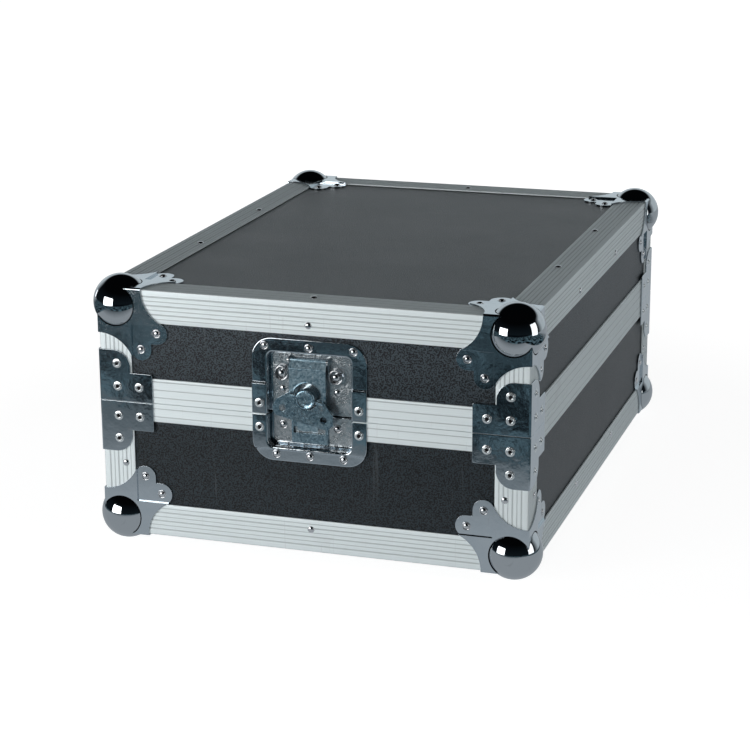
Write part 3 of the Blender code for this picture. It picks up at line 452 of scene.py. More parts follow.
def modify(item, kind, **settings):
    """Add a modifier with its settings."""
    modifier = item.modifiers.new(kind.lower(), kind)
    for name, value in settings.items():
        setattr(modifier, name, value)
    return modifier


def taken_off(item):
    """Take an object off the bench and return its mesh as its modifiers leave it."""
    bpy.context.view_layer.update()
    mesh = bpy.data.meshes.new_from_object(item.evaluated_get(bpy.context.evaluated_depsgraph_get()))
    bpy.data.objects.remove(item, do_unlink=True)
    return mesh


def smooth_below(mesh, angle):
    """Shade a mesh smooth, with sharp edges where its faces turn by more than an angle in degrees."""
    mesh.shade_smooth()
    mesh.set_sharp_from_angle(angle=math.radians(angle))
    return mesh


# %% Helpers for solids
def plate(outline, low, high, across, up):
    """Return a flat outline as a plate: its points lie along across and up, its faces at low and high."""
    across = Vector(across)
    up = Vector(up)
    out = across.cross(up)
    bm = bmesh.new()
    rows = [[bm.verts.new(across * a + up * b + out * level) for a, b in outline] for level in (low, high)]
    bm.faces.new(rows[0])
    bm.faces.new(rows[1])
    for i in range(len(outline)):
        j = (i + 1) % len(outline)
        bm.faces.new((rows[0][i], rows[0][j], rows[1][j], rows[1][i]))
    return solid(bm)


def block(low, high):
    """Return a box between two corners."""
    (x0, y0, z0), (x1, y1, z1) = low, high
    return plate([(x0, y0), (x1, y0), (x1, y1), (x0, y1)], z0, z1, ACROSS, INWARDS)


def rod(start, end, radius, steps=24):
    """Return a round bar between two points."""
    start = Vector(start)
    end = Vector(end)
    turn = (end - start).to_track_quat("Z", "Y").to_matrix().to_4x4()
    place = Matrix.Translation((start + end) / 2) @ turn
    size = {"radius1": radius, "radius2": radius, "depth": (end - start).length}
    bm = bmesh.new()
    bmesh.ops.create_cone(bm, cap_ends=True, segments=steps, matrix=place, **size)
    return solid(bm)


def lathe(profile, place, steps=48, closed=False):
    """Return the solid that a profile of radius and height sweeps about the Z axis, then put in place."""
    bm = bmesh.new()
    points = [bm.verts.new((radius, 0.0, height)) for radius, height in profile]
    pairs = list(zip(points, points[1:])) + ([(points[-1], points[0])] if closed else [])
    line = points + [bm.edges.new(pair) for pair in pairs]
    bmesh.ops.spin(bm, geom=line, cent=(0, 0, 0), axis=UP, angle=math.tau, steps=steps, use_merge=True)
    bmesh.ops.remove_doubles(bm, verts=bm.verts, dist=0.001 * MM)
    bmesh.ops.transform(bm, matrix=place, verts=bm.verts)
    return solid(bm)


def boolean(operation, body, tools):
    """Apply exact Booleans one after another and return the body."""
    for tool in tools:
        modify(body, "BOOLEAN", operation=operation, object=tool)
        body = on_bench(taken_off(body))
        bpy.data.objects.remove(tool, do_unlink=True)
    return body


def unite(body, *tools):
    """Join the tools to the body."""
    return boolean("UNION", body, tools)


def trim(body, *tools):
    """Cut the tools out of the body."""
    return boolean("DIFFERENCE", body, tools)


def keep_inside(body, *tools):
    """Keep what of the body lies inside the tools."""
    return boolean("INTERSECT", body, tools)


def soften(body, width, segments=2, angle=32):
    """Break the edges sharper than an angle with a bevel, weight the normals and return the mesh."""
    bm = bmesh_of(body.data)
    bmesh.ops.remove_doubles(bm, verts=bm.verts, dist=0.002 * MM)
    bmesh.ops.dissolve_limit(bm, angle_limit=math.radians(0.5), verts=bm.verts, edges=bm.edges)
    mesh_of(bm, body.data).shade_smooth()
    limit = {"limit_method": "ANGLE", "angle_limit": math.radians(angle), "use_clamp_overlap": True}
    modify(body, "BEVEL", width=width, segments=segments, **limit)
    modify(body, "WEIGHTED_NORMAL", keep_sharp=False, weight=80)
    return taken_off(body)


# %% Helpers for pieces
def moved(mesh, *places):
    """Return copies of a mesh, each moved by its matrix, joined into one mesh with the same materials."""
    bm = bmesh.new()
    for place in places:
        copy = mesh.copy()
        copy.transform(place)
        bm.from_mesh(copy)
        bpy.data.meshes.remove(copy)
    joined = mesh_of(bm)
    for finish in mesh.materials:
        joined.materials.append(finish)
    return joined


def add_piece(name, mesh, material, body, stands_for=()):
    """Add a finished mesh as a named piece that rides on a body, in place of the nodes that it stands for."""
    mesh.name = name
    if material is not None:
        mesh.materials.clear()
        mesh.materials.append(material)
    piece = bpy.data.objects.new(name, mesh)
    bpy.context.scene.collection.objects.link(piece)
    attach(piece, body)
    if stands_for:
        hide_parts(*stands_for)
    return piece


def corner_place(corner):
    """Return the X, Y and turn of an upright edge, counted from the back right one."""
    x = HALF_WIDTH if corner.endswith("right") else -HALF_WIDTH
    y = HALF_DEPTH if corner.startswith("back") else -HALF_DEPTH
    return x, y, Matrix.Rotation(math.radians(90) * CORNERS[corner], 4, "Z")


OVER = Matrix.Rotation(math.pi, 4, Vector((1, 1, 0)).normalized())
LATCHES = {
    "front": Matrix.Translation((0, -HALF_DEPTH, SPLIT_Z)),
    "back": Matrix.Translation((0, HALF_DEPTH, SPLIT_Z)) @ Matrix.Rotation(math.pi, 4, "Z"),
}

# %% [markdown]
# ## Ridged edging by the metre
#
# The edging is an extrusion: one section, pushed through a die and sawn to length. It could be drawn as a
# box with grooves cut in, but then every length would repeat the work. Geometry Nodes follow the real
# process instead. The section is drawn once as a flat face with its ridges, and the tree extrudes it to any
# length, mitres the ends where two bars meet in a corner, and writes down where each point lies along and
# across the bar, which the aluminium's streaks then follow.

# %% The extrusion tree
def coated(tree, shape, finish):
    """Return a shape with its instances realized and a finish set."""
    real = output_of(tree, "GeometryNodeRealizeInstances", {0: shape})
    return output_of(tree, "GeometryNodeSetMaterial", {0: real, "Material": finish})


extrusion, given, result = new_group(
    "extrusion_by_the_metre",
    {"Section": "Geometry", "Length": 0.1, "Start Mitre": 0.0, "End Mitre": 0.0, "Material": "Material"},
    {"Bar": "Geometry"},
    "GeometryNodeTree",
)
push = output_of(extrusion, "ShaderNodeCombineXYZ", {0: given["Length"]})
drawn_out = output_of(
    extrusion,
    "GeometryNodeExtrudeMesh",
    {"Mesh": given["Section"], "Offset": push, "Offset Scale": 1.0, "Individual": False},
)
back = output_of(extrusion, "GeometryNodeFlipFaces", {"Mesh": given["Section"]})
joined = output_of(extrusion, "GeometryNodeJoinGeometry", {0: [drawn_out, back]})
welded = output_of(extrusion, "GeometryNodeMergeByDistance", {"Geometry": joined, "Distance": 0.001 * MM})
spot = parts_of(extrusion, output_of(extrusion, "GeometryNodeInputPosition"))
share = maths(extrusion, "DIVIDE", spot[0], given["Length"], clamp=True)
rest = maths(extrusion, "SUBTRACT", 1.0, share)
start_cut = maths(extrusion, "MULTIPLY", rest, given["Start Mitre"])
end_cut = maths(extrusion, "MULTIPLY", share, given["End Mitre"])
slide = maths(extrusion, "MULTIPLY", maths(extrusion, "SUBTRACT", start_cut, end_cut), spot[1])
shift = output_of(extrusion, "ShaderNodeCombineXYZ", {0: slide})
mitred = output_of(extrusion, "GeometryNodeSetPosition", {"Geometry": welded, "Offset": shift})
across = maths(extrusion, "SUBTRACT", spot[1], spot[2])
stored = output_of(
    extrusion,
    "GeometryNodeStoreNamedAttribute",
    {
        "Geometry": mitred,
        "Name": "grain",
        "Value": output_of(extrusion, "ShaderNodeCombineXYZ", {0: spot[0], 1: across}),
    },
    data_type="FLOAT_VECTOR",
    domain="POINT",
)
extrusion.links.new(coated(extrusion, stored, given["Material"]), result[0])


def run_tree(tree, mesh, **values):
    """Run a Geometry Nodes tree on a mesh with named values and return the plain mesh that it makes."""
    carrier = on_bench(mesh)
    modifier = modify(carrier, "NODES", node_group=tree)
    identifiers = {item.name: item.identifier for item in tree.interface.items_tree if item.in_out == "INPUT"}
    for name, value in values.items():
        modifier[identifiers[name.replace("_", " ")]] = value
    return taken_off(carrier)


print("extrusion tree:", len(extrusion.nodes), "nodes")

# %% [markdown]
# The outer angle has two legs of 30 mm with six shallow grooves each, every other one a little deeper, and
# a rounded nose where the legs meet. The grooves are geometry, because their dark lines have to hold at the
# silhouette and in low light, where a bump map gives up. Each section also marks the points at the bottom
# of a groove, where the aluminium is painted darker as painted shade. The closing frames are hybrids: the
# same ridged face, a web that holds the plywood, and a tongue on the base that enters a groove in the lid.

# %% Sections
NOSE_RADIUS = 1.1 * MM
TIP = 0.35 * MM
GROOVE_DEPTHS = (0.19 * MM, 0.33 * MM)


def grooved_line(end, *grooves):
    """Return distance and depth along a ridged face, from each groove's middle, width and depth in mm."""
    points = []
    for middle, width, depth in in_mm(*grooves):
        points += [(middle - width / 2, 0.0), (middle - width / 5, depth)]
        points += [(middle + width / 5, depth), (middle + width / 2, 0.0)]
    return points + [(end - TIP, 0.0), (end - TIP * 0.3, TIP * 0.3), (end, TIP)]


def section_face(outline, name):
    """Return a section as one flat face in the plane X = 0, facing back along X, with its grooves marked."""
    mesh = bpy.data.meshes.new(name)
    mesh.from_pydata([(0.0, y, z) for y, z in outline], [], [list(range(len(outline)))])
    if mesh.polygons[0].normal.x < 0:
        mesh.flip_normals()
    # Points at the bottom of a groove get the aluminium's painted shade.
    groove_bottom = mesh.attributes.new("groove", "FLOAT", "POINT")
    for point, (y, z) in zip(groove_bottom.data, outline):
        point.value = float(GROOVE_DEPTHS[0] <= min(abs(y), abs(z)) <= GROOVE_DEPTHS[1])
    return mesh


def angle_section():
    """Return the section of the outer angle, with its corner at the origin and its legs along Y and Z."""
    leg = grooved_line(LEG, *[(6 + 4 * i, 1.0, 0.2) if i % 2 else (6 + 4 * i, 1.7, 0.3) for i in range(6)])
    nose = []
    for i in range(5):
        angle = math.radians(180 + 90 * i / 4)
        nose.append((NOSE_RADIUS * (1 + math.cos(angle)), NOSE_RADIUS * (1 + math.sin(angle))))
    tip = 0.2 * MM
    inside = [(LEG, WALL - tip), (LEG - tip, WALL), (WALL, WALL), (WALL, LEG - tip), (WALL - tip, LEG)]
    return section_face([(depth, s) for s, depth in reversed(leg)] + nose + leg + inside, "angle_section")


def frame_section(name, way, face, *inside):
    """Return a closing frame's section: the ridged face, up (1) or down (-1) from the split, and the rest."""
    outline = in_mm((0.3, way * 0.15), (0.0, way * 0.45)) + [(depth, way * z) for z, depth in face]
    return section_face(outline + in_mm(*inside), name)


angle = angle_section()
lid_frame = frame_section(
    "lid_frame_section", 1,
    grooved_line(LID_FRAME_RISE, (5.6, 1.1, 0.25), (12.7, 1.1, 0.25), (20.2, 1.2, 0.3)),
    (1.5, 22.7), (1.5, 5.9), (11.1, 5.9), (11.1, 11), (12.3, 11), (12.3, 0.15),
    (8.45, 0.15), (8.45, 4.4), (3.85, 4.4), (3.85, 0.15),
)
base_frame = frame_section(
    "base_frame_section", -1,
    grooved_line(BASE_FRAME_DROP, (4.8, 1.1, 0.25), (12.3, 1.1, 0.25)),
    (1.5, -17.2), (1.5, -1.65), (11.1, -1.65), (11.1, -11), (12.3, -11), (12.3, -0.15),
    (8.15, -0.15), (8.15, 3.2), (7.85, 3.5), (4.45, 3.5), (4.15, 3.2), (4.15, -0.15),
)
print("points in the sections:", [len(mesh.vertices) for mesh in (angle, lid_frame, base_frame)])


# %% Outer edging, sixteen lengths
def lay_bar(section, start, inward, second, length, mitres=(0.0, 0.0)):
    """Return a bar from the start, with its section's Y and Z along the two given directions."""
    inward = Vector(inward)
    second = Vector(second)
    cuts = {"Start_Mitre": mitres[0], "End_Mitre": mitres[1]}
    bar = run_tree(extrusion, section.copy(), Length=length, Material=aluminium, **cuts)
    place = Matrix((inward.cross(second), inward, second)).transposed().to_4x4()
    bar.transform(Matrix.Translation(start) @ place)
    bar.set_sharp_from_angle(angle=math.radians(25))
    return bar


def add_bar(name, *lay):
    """Add one length of edging in place of its CAD node."""
    add_piece("ridged_" + name, lay_bar(angle, *lay), None, name.split("_")[0], [name])


END = LEG + GAP
across_half = HALF_WIDTH - END
along_half = HALF_DEPTH - END
for level, z, up in (("lid_top", TOP_Z, -1), ("base_bottom", UNDERSIDE_Z, 1)):
    for side, corner, inward, half in (
        ("front", (0, -HALF_DEPTH, z), (0, 1, 0), across_half),
        ("back", (0, HALF_DEPTH, z), (0, -1, 0), across_half),
        ("left", (-HALF_WIDTH, 0, z), (1, 0, 0), along_half),
        ("right", (HALF_WIDTH, 0, z), (-1, 0, 0), along_half),
    ):
        start = Vector(corner) - Vector(inward).cross(Vector((0, 0, up))) * half
        add_bar(level + "_edge_" + side, start, inward, (0, 0, up), 2 * half)
for corner in CORNERS:
    x, y, turn = corner_place(corner)
    first, second = (turn.to_3x3() @ Vector(way) for way in ((-1, 0, 0), (0, -1, 0)))
    for shell, foot, top in (
        ("lid", SPLIT_Z + LID_FRAME_RISE + GAP, TOP_Z - END),
        ("base", UNDERSIDE_Z + END, SPLIT_Z - BASE_FRAME_DROP - GAP),
    ):
        add_bar(shell + "_upright_edge_" + corner, (x, y, foot), first, second, top - foot)
print("outer angle:", round(2 * across_half / MM, 1), "and", round(2 * along_half / MM, 1), "mm long")

# %% Closing frames, mitred at the corners and stopped beside the latch dishes
DISH_ROOM = 40.3 * MM
short = HALF_WIDTH - DISH_ROOM
for shell, section in (("lid", lid_frame), ("base", base_frame)):
    for side, sign in (("left", 1), ("right", -1)):
        bars = [
            lay_bar(section, (sign * x, sign * y, SPLIT_Z), (sign * inward[0], sign * inward[1], 0), UP, *cut)
            for x, y, inward, cut in (
                (-HALF_WIDTH, HALF_DEPTH, (1, 0), (2 * HALF_DEPTH, (1.0, 1.0))),
                (-HALF_WIDTH, -HALF_DEPTH, (0, 1), (short, (1.0, 0.0))),
                (-DISH_ROOM, HALF_DEPTH, (0, -1), (short, (0.0, 1.0))),
            )
        ]
        node = shell + "_closing_frame_" + side
        add_piece("ridged_" + node, mesh_of(bmesh_of(*bars)), aluminium, shell, [node])
print("closing frames laid, open for the dishes over", round(2 * DISH_ROOM / MM, 1), "mm")

# %% [markdown]
# ## Ball corners
#
# A ball corner is deep-drawn from one disc of steel: a ball that takes the knocks, three wings that fold
# over the edging, and lower lobes that step down on to the panels, where the rivets go. It could be
# modelled by pulling a sphere about, but its plates have to stay truly flat or the chrome shows it. So the
# wings are plates cut to their outlines and folded by an intersection with a block whose edges are rounded.
# The ball is joined to three turned collars, which are the soft neck between ball and plate, and one room
# cut takes away everything that the case itself fills.

# %% Outlines of the wings
BALL_RADIUS = 25 * MM
BALL_INSET = 15.5 * MM
BALL_FLAT = 0.5 * MM
WING_REACH = 41.5 * MM
SCALLOP_RADIUS = 34.5 * MM
LOBE_RADIUS = 10 * MM
LOBE_NEAR = LEG + 9.5 * MM
LOBE_FAR = LEG + 25 * MM
SKIN = GAP + SHEET
FOLD_RADIUS = 1.9 * MM
SOFT_EDGE = {"width": 0.45 * MM, "segments": 3, "angle": 34}


def arc(centre, radius, start, end, steps=10):
    """Return points along an arc, in degrees, both ends included."""
    angles = [math.radians(start + (end - start) * i / steps) for i in range(steps + 1)]
    return [(centre[0] + radius * math.cos(a), centre[1] + radius * math.sin(a)) for a in angles]


def wing_outlines():
    """Return the upper and lower wing outlines as distances in from two edges of the case."""
    riser = LEG + SKIN
    beyond = -5 * MM
    steps = [riser * i / 12 for i in range(13)]
    sweep = [(WING_REACH + SCALLOP_RADIUS - math.sqrt(SCALLOP_RADIUS**2 - s**2), s) for s in steps]
    upper = [(beyond, beyond), (WING_REACH, beyond)] + sweep + [(riser, riser)]
    upper += [(b, a) for a, b in reversed(sweep)] + [(beyond, WING_REACH)]
    start = LEG + GAP + SHEET / 2
    dip = math.degrees(math.asin((LOBE_NEAR - start) / LOBE_RADIUS))
    lobe = arc((LOBE_FAR, LOBE_NEAR), LOBE_RADIUS, -dip, 90, 14)
    waist = LOBE_NEAR + LOBE_RADIUS
    return upper, [(start, start)] + lobe + [(waist, waist)] + [(b, a) for a, b in reversed(lobe)]


def fold_block(reach):
    """Return a block outside the corner at the origin, with the bend of the sheet on its outer edges."""
    body = block((-reach,) * 3, (SKIN,) * 3)
    bm = bmesh_of(body.data)
    folds = []
    for edge in bm.edges:
        outer = [c for vert in edge.verts for c in vert.co if abs(c - SKIN) < 0.001 * MM]
        if len(outer) >= 4:
            folds.append(edge)
    bmesh.ops.bevel(bm, geom=folds, offset=FOLD_RADIUS, segments=6, profile=0.5, affect="EDGES")
    mesh_of(bm, body.data)
    return body


# %% The corner itself
FACES = ((ACROSS, INWARDS), (INWARDS, UP), (UP, ACROSS))
BALL_CENTRE = Vector((-BALL_INSET,) * 3)
REACH = LOBE_FAR + LOBE_RADIUS + 5 * MM


def neck(across, up):
    """Return the collar between the ball and the plate on one face, turned about the face's normal."""
    fillet = 2.4 * MM
    rise = BALL_INSET + SKIN
    middle_height = rise + fillet
    middle_radius = math.sqrt((BALL_RADIUS + fillet) ** 2 - middle_height**2)
    touch = math.degrees(math.atan2(-middle_height, -middle_radius))
    profile = [(middle_radius - 4 * MM, rise - 0.9 * MM), (middle_radius, rise - 0.9 * MM)]
    profile += arc((middle_radius, middle_height), fillet, -90, touch, 8)
    turn = Matrix((Vector(across), Vector(up), Vector(across).cross(Vector(up)))).transposed().to_4x4()
    return lathe(profile, Matrix.Translation(BALL_CENTRE) @ turn, steps=64, closed=True)


def core():
    """Return the block inside the ball, where the plates need not go."""
    return block(BALL_CENTRE, (9 * MM,) * 3)


def room_of_case():
    """Return what the panels and the edging fill inside a corner, grown by the gap."""
    far = -REACH - 5 * MM
    leg = -LEG - GAP
    return unite(
        block((-REACH,) * 3, (-PANEL_FACE + GAP,) * 3),
        block((far, leg, leg), (-BALL_INSET, GAP, GAP)),
        block((leg, far, leg), (GAP, -BALL_INSET, GAP)),
        block((leg, leg, far), (GAP, GAP, -BALL_INSET)),
    )


def corner_plates():
    """Return the folded wings and lobes of the corner at the origin, with the case at negative X, Y and Z."""
    upper, lower = ([(-a, -b) for a, b in outline] for outline in wing_outlines())
    back = -PANEL_FACE - SHEET
    wings = unite(*[plate(upper, back, 6 * MM, *face) for face in FACES])
    wings = trim(keep_inside(wings, fold_block(REACH)), core())
    lobes = [plate(lower, back, -PANEL_FACE + SKIN, *face) for face in FACES]
    return soften(trim(unite(wings, *lobes), room_of_case()), **SOFT_EDGE)


def corner_ball(flat):
    """Return the ball with its three collars, and with the small flat under it if it is a foot."""
    bm = bmesh.new()
    place = Matrix.Translation(BALL_CENTRE) @ Matrix.Rotation(math.radians(45), 4, "Z")
    bmesh.ops.create_uvsphere(bm, u_segments=72, v_segments=36, radius=BALL_RADIUS, matrix=place)
    collars = keep_inside(unite(*[neck(*face) for face in FACES]), fold_block(REACH))
    ball = trim(unite(solid(bm), trim(collars, core())), room_of_case())
    if flat:
        foot = BALL_RADIUS - BALL_INSET - BALL_FLAT
        ball = trim(ball, block((-REACH, -REACH, foot), (REACH, REACH, foot + REACH)))
    for face in ball.data.polygons:
        off = (face.center - BALL_CENTRE).length - BALL_RADIUS
        face.material_index = int(-0.15 * MM < off < 0.1 * MM)
    return smooth_below(ball.data, 40)


def corner_shell(flat):
    """Return the whole ball corner, chrome with a polished ball."""
    shell = mesh_of(bmesh_of(corner_plates(), corner_ball(flat)))
    for finish in (chrome, mirror):
        shell.materials.append(finish)
    return shell


# %% Eight corners
upper_corner = corner_shell(False)
lower_corner = corner_shell(True)
for corner in CORNERS:
    x, y, turn = corner_place(corner)
    above = moved(upper_corner, Matrix.Translation((x, y, TOP_Z)) @ turn)
    below = moved(lower_corner, Matrix.Translation((x, y, UNDERSIDE_Z)) @ turn @ OVER)
    for shell, mesh in (("lid", above), ("base", below)):
        node = shell + "_ball_corner_" + corner
        add_piece("pressed_" + node, mesh, None, shell, [node])
print("one ball corner:", len(upper_corner.polygons), "faces")

# %% [markdown]
# ## Corner braces
#
# Above and below the split an L of the same sheet is folded round the upright edge, so that the closing
# frame and the edging hold each other. Its stem has one rounded shoulder and its arm runs along the frame.
# It is made in the same way as the corner: two plates, one fold.

# %% Braces
ARM_END = 50 * MM
ARM_TOP = 26.8 * MM
STEM_WIDTH = 29 * MM
STEM_TOP = 47.5 * MM
SHOULDER = 16 * MM


def brace_shell():
    """Return a brace for the upright edge at the origin, with the case at negative X and Y."""
    tip = 1.5 * MM
    outline = [(-6 * MM, GAP / 2), (ARM_END, GAP / 2)] + arc((ARM_END - tip, ARM_TOP - tip), tip, 0, 90, 5)
    shoulder = arc((STEM_WIDTH - SHOULDER, STEM_TOP - SHOULDER), SHOULDER, 0, 90, 16)
    outline += [(STEM_WIDTH, ARM_TOP)] + shoulder + [(-6 * MM, STEM_TOP)]
    far = 55 * MM
    brace = unite(
        plate([(b, -a) for a, b in outline], -SHEET, 6 * MM, UP, ACROSS),
        plate([(-a, b) for a, b in outline], -SHEET, 6 * MM, INWARDS, UP),
    )
    fold = fold_block(far)
    fold.location = (0, 0, far)
    brace = trim(keep_inside(brace, fold), block((-far, -far, -far), (GAP, GAP, far)))
    return soften(brace, **SOFT_EDGE)


brace = brace_shell()
for corner in CORNERS:
    x, y, turn = corner_place(corner)
    place = Matrix.Translation((x, y, SPLIT_Z)) @ turn
    for shell, way in (("lid", Matrix()), ("base", OVER)):
        node = shell + "_corner_brace_" + corner
        add_piece("folded_" + node, moved(brace, place @ way), chrome, shell, [node])
print("one brace:", len(brace.polygons), "faces")

# %% [markdown]
# ## Latch dishes
#
# A dish is drawn from sheet too: a flat flange, a soft lip, a steep wall and a flat floor. A row of rounded
# rectangles, each a little further in and deeper than the last, gives exactly that when neighbours are
# bridged, and a Solidify modifier turns the skin into sheet. The flange then steps up where it leaves the
# panel and climbs over the closing frame: its sheet is cut along a few level lines and everything beyond
# them is moved out. At the split the dish is sawn into its lid half and its base half.

# %% Pressing a dish
def rounded_ring(half, low, high, radius):
    """Return points round a rounded rectangle, anticlockwise."""
    right, left, bottom, top = half - radius, radius - half, low + radius, high - radius
    ring = []
    for i, centre in enumerate(((right, bottom), (right, top), (left, top), (left, bottom))):
        ring += arc(centre, radius, 90 * i - 90, 90 * i, 9)
    return ring


def pressed_skin(flange, pan, face, floor):
    """Return a dish's outer skin, with X across, Y in and Z up.

    Flange and pan are half width, low, high and corner radius, and face and floor are depths. Each step is
    how far its ring lies inside that outline, and how deep, in millimetres.
    """
    bm = bmesh.new()
    rings = []
    for (half, low, high, radius), level, *steps in (
        (flange, face, (0.0, 0.75), (0.1, 0.35), (0.35, 0.1), (0.9, 0.0)),
        (pan, face, (-1.9, 0.0), (-1.1, 0.06), (-0.5, 0.3), (-0.12, 0.8), (0.0, 1.5)),
        (pan, floor, (0.35, -2.2), (0.75, -0.9), (1.35, -0.25), (2.2, 0.0)),
    ):
        for inset, depth in in_mm(*steps):
            ring = rounded_ring(half - inset, low + inset, high - inset, radius - inset)
            rings.append([bm.verts.new((x, level + depth, z)) for x, z in ring])
    for first, second in zip(rings, rings[1:]):
        for i in range(len(first)):
            j = (i + 1) % len(first)
            bm.faces.new((first[i], first[j], second[j], second[i]))
    bm.faces.new(rings[-1])
    bmesh.ops.recalc_face_normals(bm, faces=bm.faces)
    bm.faces.ensure_lookup_table()
    if bm.faces[-1].normal.y > 0:
        bmesh.ops.reverse_faces(bm, faces=bm.faces)
    return bm


def level_cut(bm, height, keep=0):
    """Cut a skin along a level line, and drop what is below it (1) or above it (-1)."""
    whole = bm.verts[:] + bm.edges[:] + bm.faces[:]
    drop = {"clear_inner": keep > 0, "clear_outer": keep < 0}
    bmesh.ops.bisect_plane(bm, geom=whole, plane_co=(0, 0, height), plane_no=UP, dist=0.0001 * MM, **drop)


def step_up(bm, line, way, face, floor, rise):
    """Move the flange out by a rise between the split and the line, in a soft step, and none at the floor."""
    width = 0.9 * MM
    cuts = 6
    for i in range(cuts + 1):
        level_cut(bm, way * (line - width + 2 * width * i / cuts))
    for vert in bm.verts:
        past = min(max((line + width - way * vert.co.z) / (2 * width), 0.0), 1.0)
        soft = past * past * (3 - 2 * past)
        near_face = 1 - min(max((vert.co.y - face - 1.6 * MM) / (floor - face - 3.8 * MM), 0.0), 1.0)
        vert.co.y -= rise * soft * near_face


def sheet_from(bm, hole=None):
    """Give a skin the thickness of the sheet behind it, cut a hole with a tool and return the mesh."""
    body = on_bench(mesh_of(bm))
    body.data.shade_smooth()
    modify(body, "SOLIDIFY", thickness=SHEET, offset=-1, use_even_offset=True)
    if hole:
        modify(body, "BOOLEAN", operation="DIFFERENCE", object=hole)
    modify(body, "WEIGHTED_NORMAL", weight=80)
    return taken_off(body)


# %% The four dish halves
FLANGE_FACE = 0.3 * MM
FRAME_RISE = 1.8 * MM
PAN_FLOOR = 9.5 * MM
HALF_CUT = 0.75 * MM
SHIFT = -2 * MM
SPINDLE_HEIGHT = 17.5 * MM
dish_flange, dish_pan = in_mm((53, -42.6, 69.8, 19), (38.8, -29.2, 57, 5.5))


def along_spindle(start, end, radius, steps=24):
    """Return a round bar on the spindle's axis, between two depths, all in millimetres."""
    ends = [(SHIFT, depth * MM, SPINDLE_HEIGHT) for depth in (start, end)]
    return rod(*ends, radius * MM, steps)


for shell, way, line, hole in (("lid", 1, 28.3 * MM, along_spindle(5, 15, 3.3)), ("base", -1, 32 * MM, None)):
    skin = pressed_skin(dish_flange, dish_pan, FLANGE_FACE, PAN_FLOOR)
    level_cut(skin, way * HALF_CUT, way)
    step_up(skin, line, way, FLANGE_FACE, PAN_FLOOR, FRAME_RISE)
    half = sheet_from(skin, hole)
    for side, place in LATCHES.items():
        node = shell + "_latch_dish_" + side
        add_piece("pressed_" + node, moved(half, place), chrome, shell, [node])
    print(shell, "dish half:", len(half.polygons), "faces")

# %% [markdown]
# ## The latch's moving parts
#
# Inside the dish sit a hinge plate with two ears, a hook that hangs between them on a pin, a keeper in the
# base half with a window for the hook's nose, and the spindle with its wing. All of them but the spindle,
# which is turned, are punched from sheet, so they are flat outlines with rounded corners, given their
# thickness and united where the real sheet is folded. They are drawn in the latch's own axes, X across, Y
# into the case and Z up from the split, and moved twice.

# %% Outlines with rounded corners
PIVOT_DEPTH = 5.3 * MM
PIVOT_HEIGHT = 50 * MM
CHANNEL_HALF = 16.9 * MM


def rounded(corners, steps=6):
    """Return an outline whose corners, each an X, a Y and a radius, are rounded."""
    points = []
    for i, (x, y, radius) in enumerate(corners):
        here = Vector((x, y))
        before = (Vector(corners[i - 1][:2]) - here).normalized()
        after = (Vector(corners[(i + 1) % len(corners)][:2]) - here).normalized()
        if radius == 0 or abs(before.dot(after)) > 0.999:
            points.append((x, y))
            continue
        half = before.angle(after) / 2
        centre = here + (before + after).normalized() * (radius / math.sin(half))
        start = here + before * (radius / math.tan(half)) - centre
        end = here + after * (radius / math.tan(half)) - centre
        sweep = start.angle_signed(end)
        for j in range(steps + 1):
            turn = -sweep * j / steps
            cos, sin = math.cos(turn), math.sin(turn)
            turned = Vector((start.x * cos - start.y * sin, start.x * sin + start.y * cos))
            points.append(tuple(centre + turned))
    return points


def both_sides(middle, *right):
    """Return corners on both sides of a middle, from those on the right in millimetres, top to bottom."""
    corners = in_mm(*right)
    return [(middle + x, z, r) for x, z, r in corners] + [(middle - x, z, r) for x, z, r in reversed(corners)]


def flat(corners, front, back):
    """Return an upright plate between two depths in millimetres, from corners in X and Z."""
    return plate(rounded(corners), -back * MM, -front * MM, ACROSS, UP)


def pin(reach, radius, steps):
    """Return the hook's pivot pin, of a half length and a radius in millimetres."""
    ends = [(SHIFT + side * reach * MM, PIVOT_DEPTH, PIVOT_HEIGHT) for side in (-1, 1)]
    return rod(*ends, radius * MM, steps)


# %% Hinge plate with its ears
def hinge_plate():
    """Return the hinge plate."""
    body = flat(both_sides(0, (36.2, 54.6, 3.5), (36.2, 1.2, 0.8)), 8.3, 9.55)
    foot, head = in_mm((9.6, 46.5), (9.6, 53.5))
    ear = [foot] + arc((PIVOT_DEPTH, PIVOT_HEIGHT), 3.5 * MM, 270, 90, 14) + [head]
    for side in (-1, 1):
        low, high = sorted((SHIFT + side * 17.2 * MM, SHIFT + side * 18.7 * MM))
        body = unite(body, plate(ear, low, high, INWARDS, UP))
    return soften(trim(body, pin(25, 1.8, 20), along_spindle(5, 14, 3.3)), 0.22 * MM)


# %% Keeper
def keeper():
    """Return the keeper: a raised channel with a window, in zinc, between two flanges in nickel."""
    channel = rounded(in_mm((-18.9, 9.6, 0), (-18.9, 5.5, 1.3), (14.9, 5.5, 1.3), (14.9, 9.6, 0)))
    body = plate(channel, -26 * MM, -5 * MM, ACROSS, INWARDS)
    body = unite(body, flat(both_sides(0, (36.2, -1.2, 0.8), (36.2, -26.8, 3.5)), 8.3, 9.55))
    hollow = CHANNEL_HALF - SHEET
    room = block((SHIFT - hollow, 6.7 * MM, -31 * MM), (SHIFT + hollow, 8.3 * MM, 5 * MM))
    window = flat(both_sides(SHIFT, (14.8, -10.9, 0.6), (14.8, -16.7, 0.6)), 0, 8)
    mesh = soften(trim(body, room, window), 0.4 * MM)
    mesh.materials.clear()
    for finish in (nickel, zinc):
        mesh.materials.append(finish)
    for face in mesh.polygons:
        face.material_index = int(face.center.y < 8.2 * MM)
    return mesh


# %% Hook
FACE_FRONT = 1.0 * MM
FACE_BACK = 2.6 * MM
LEAN = 3.5 * MM


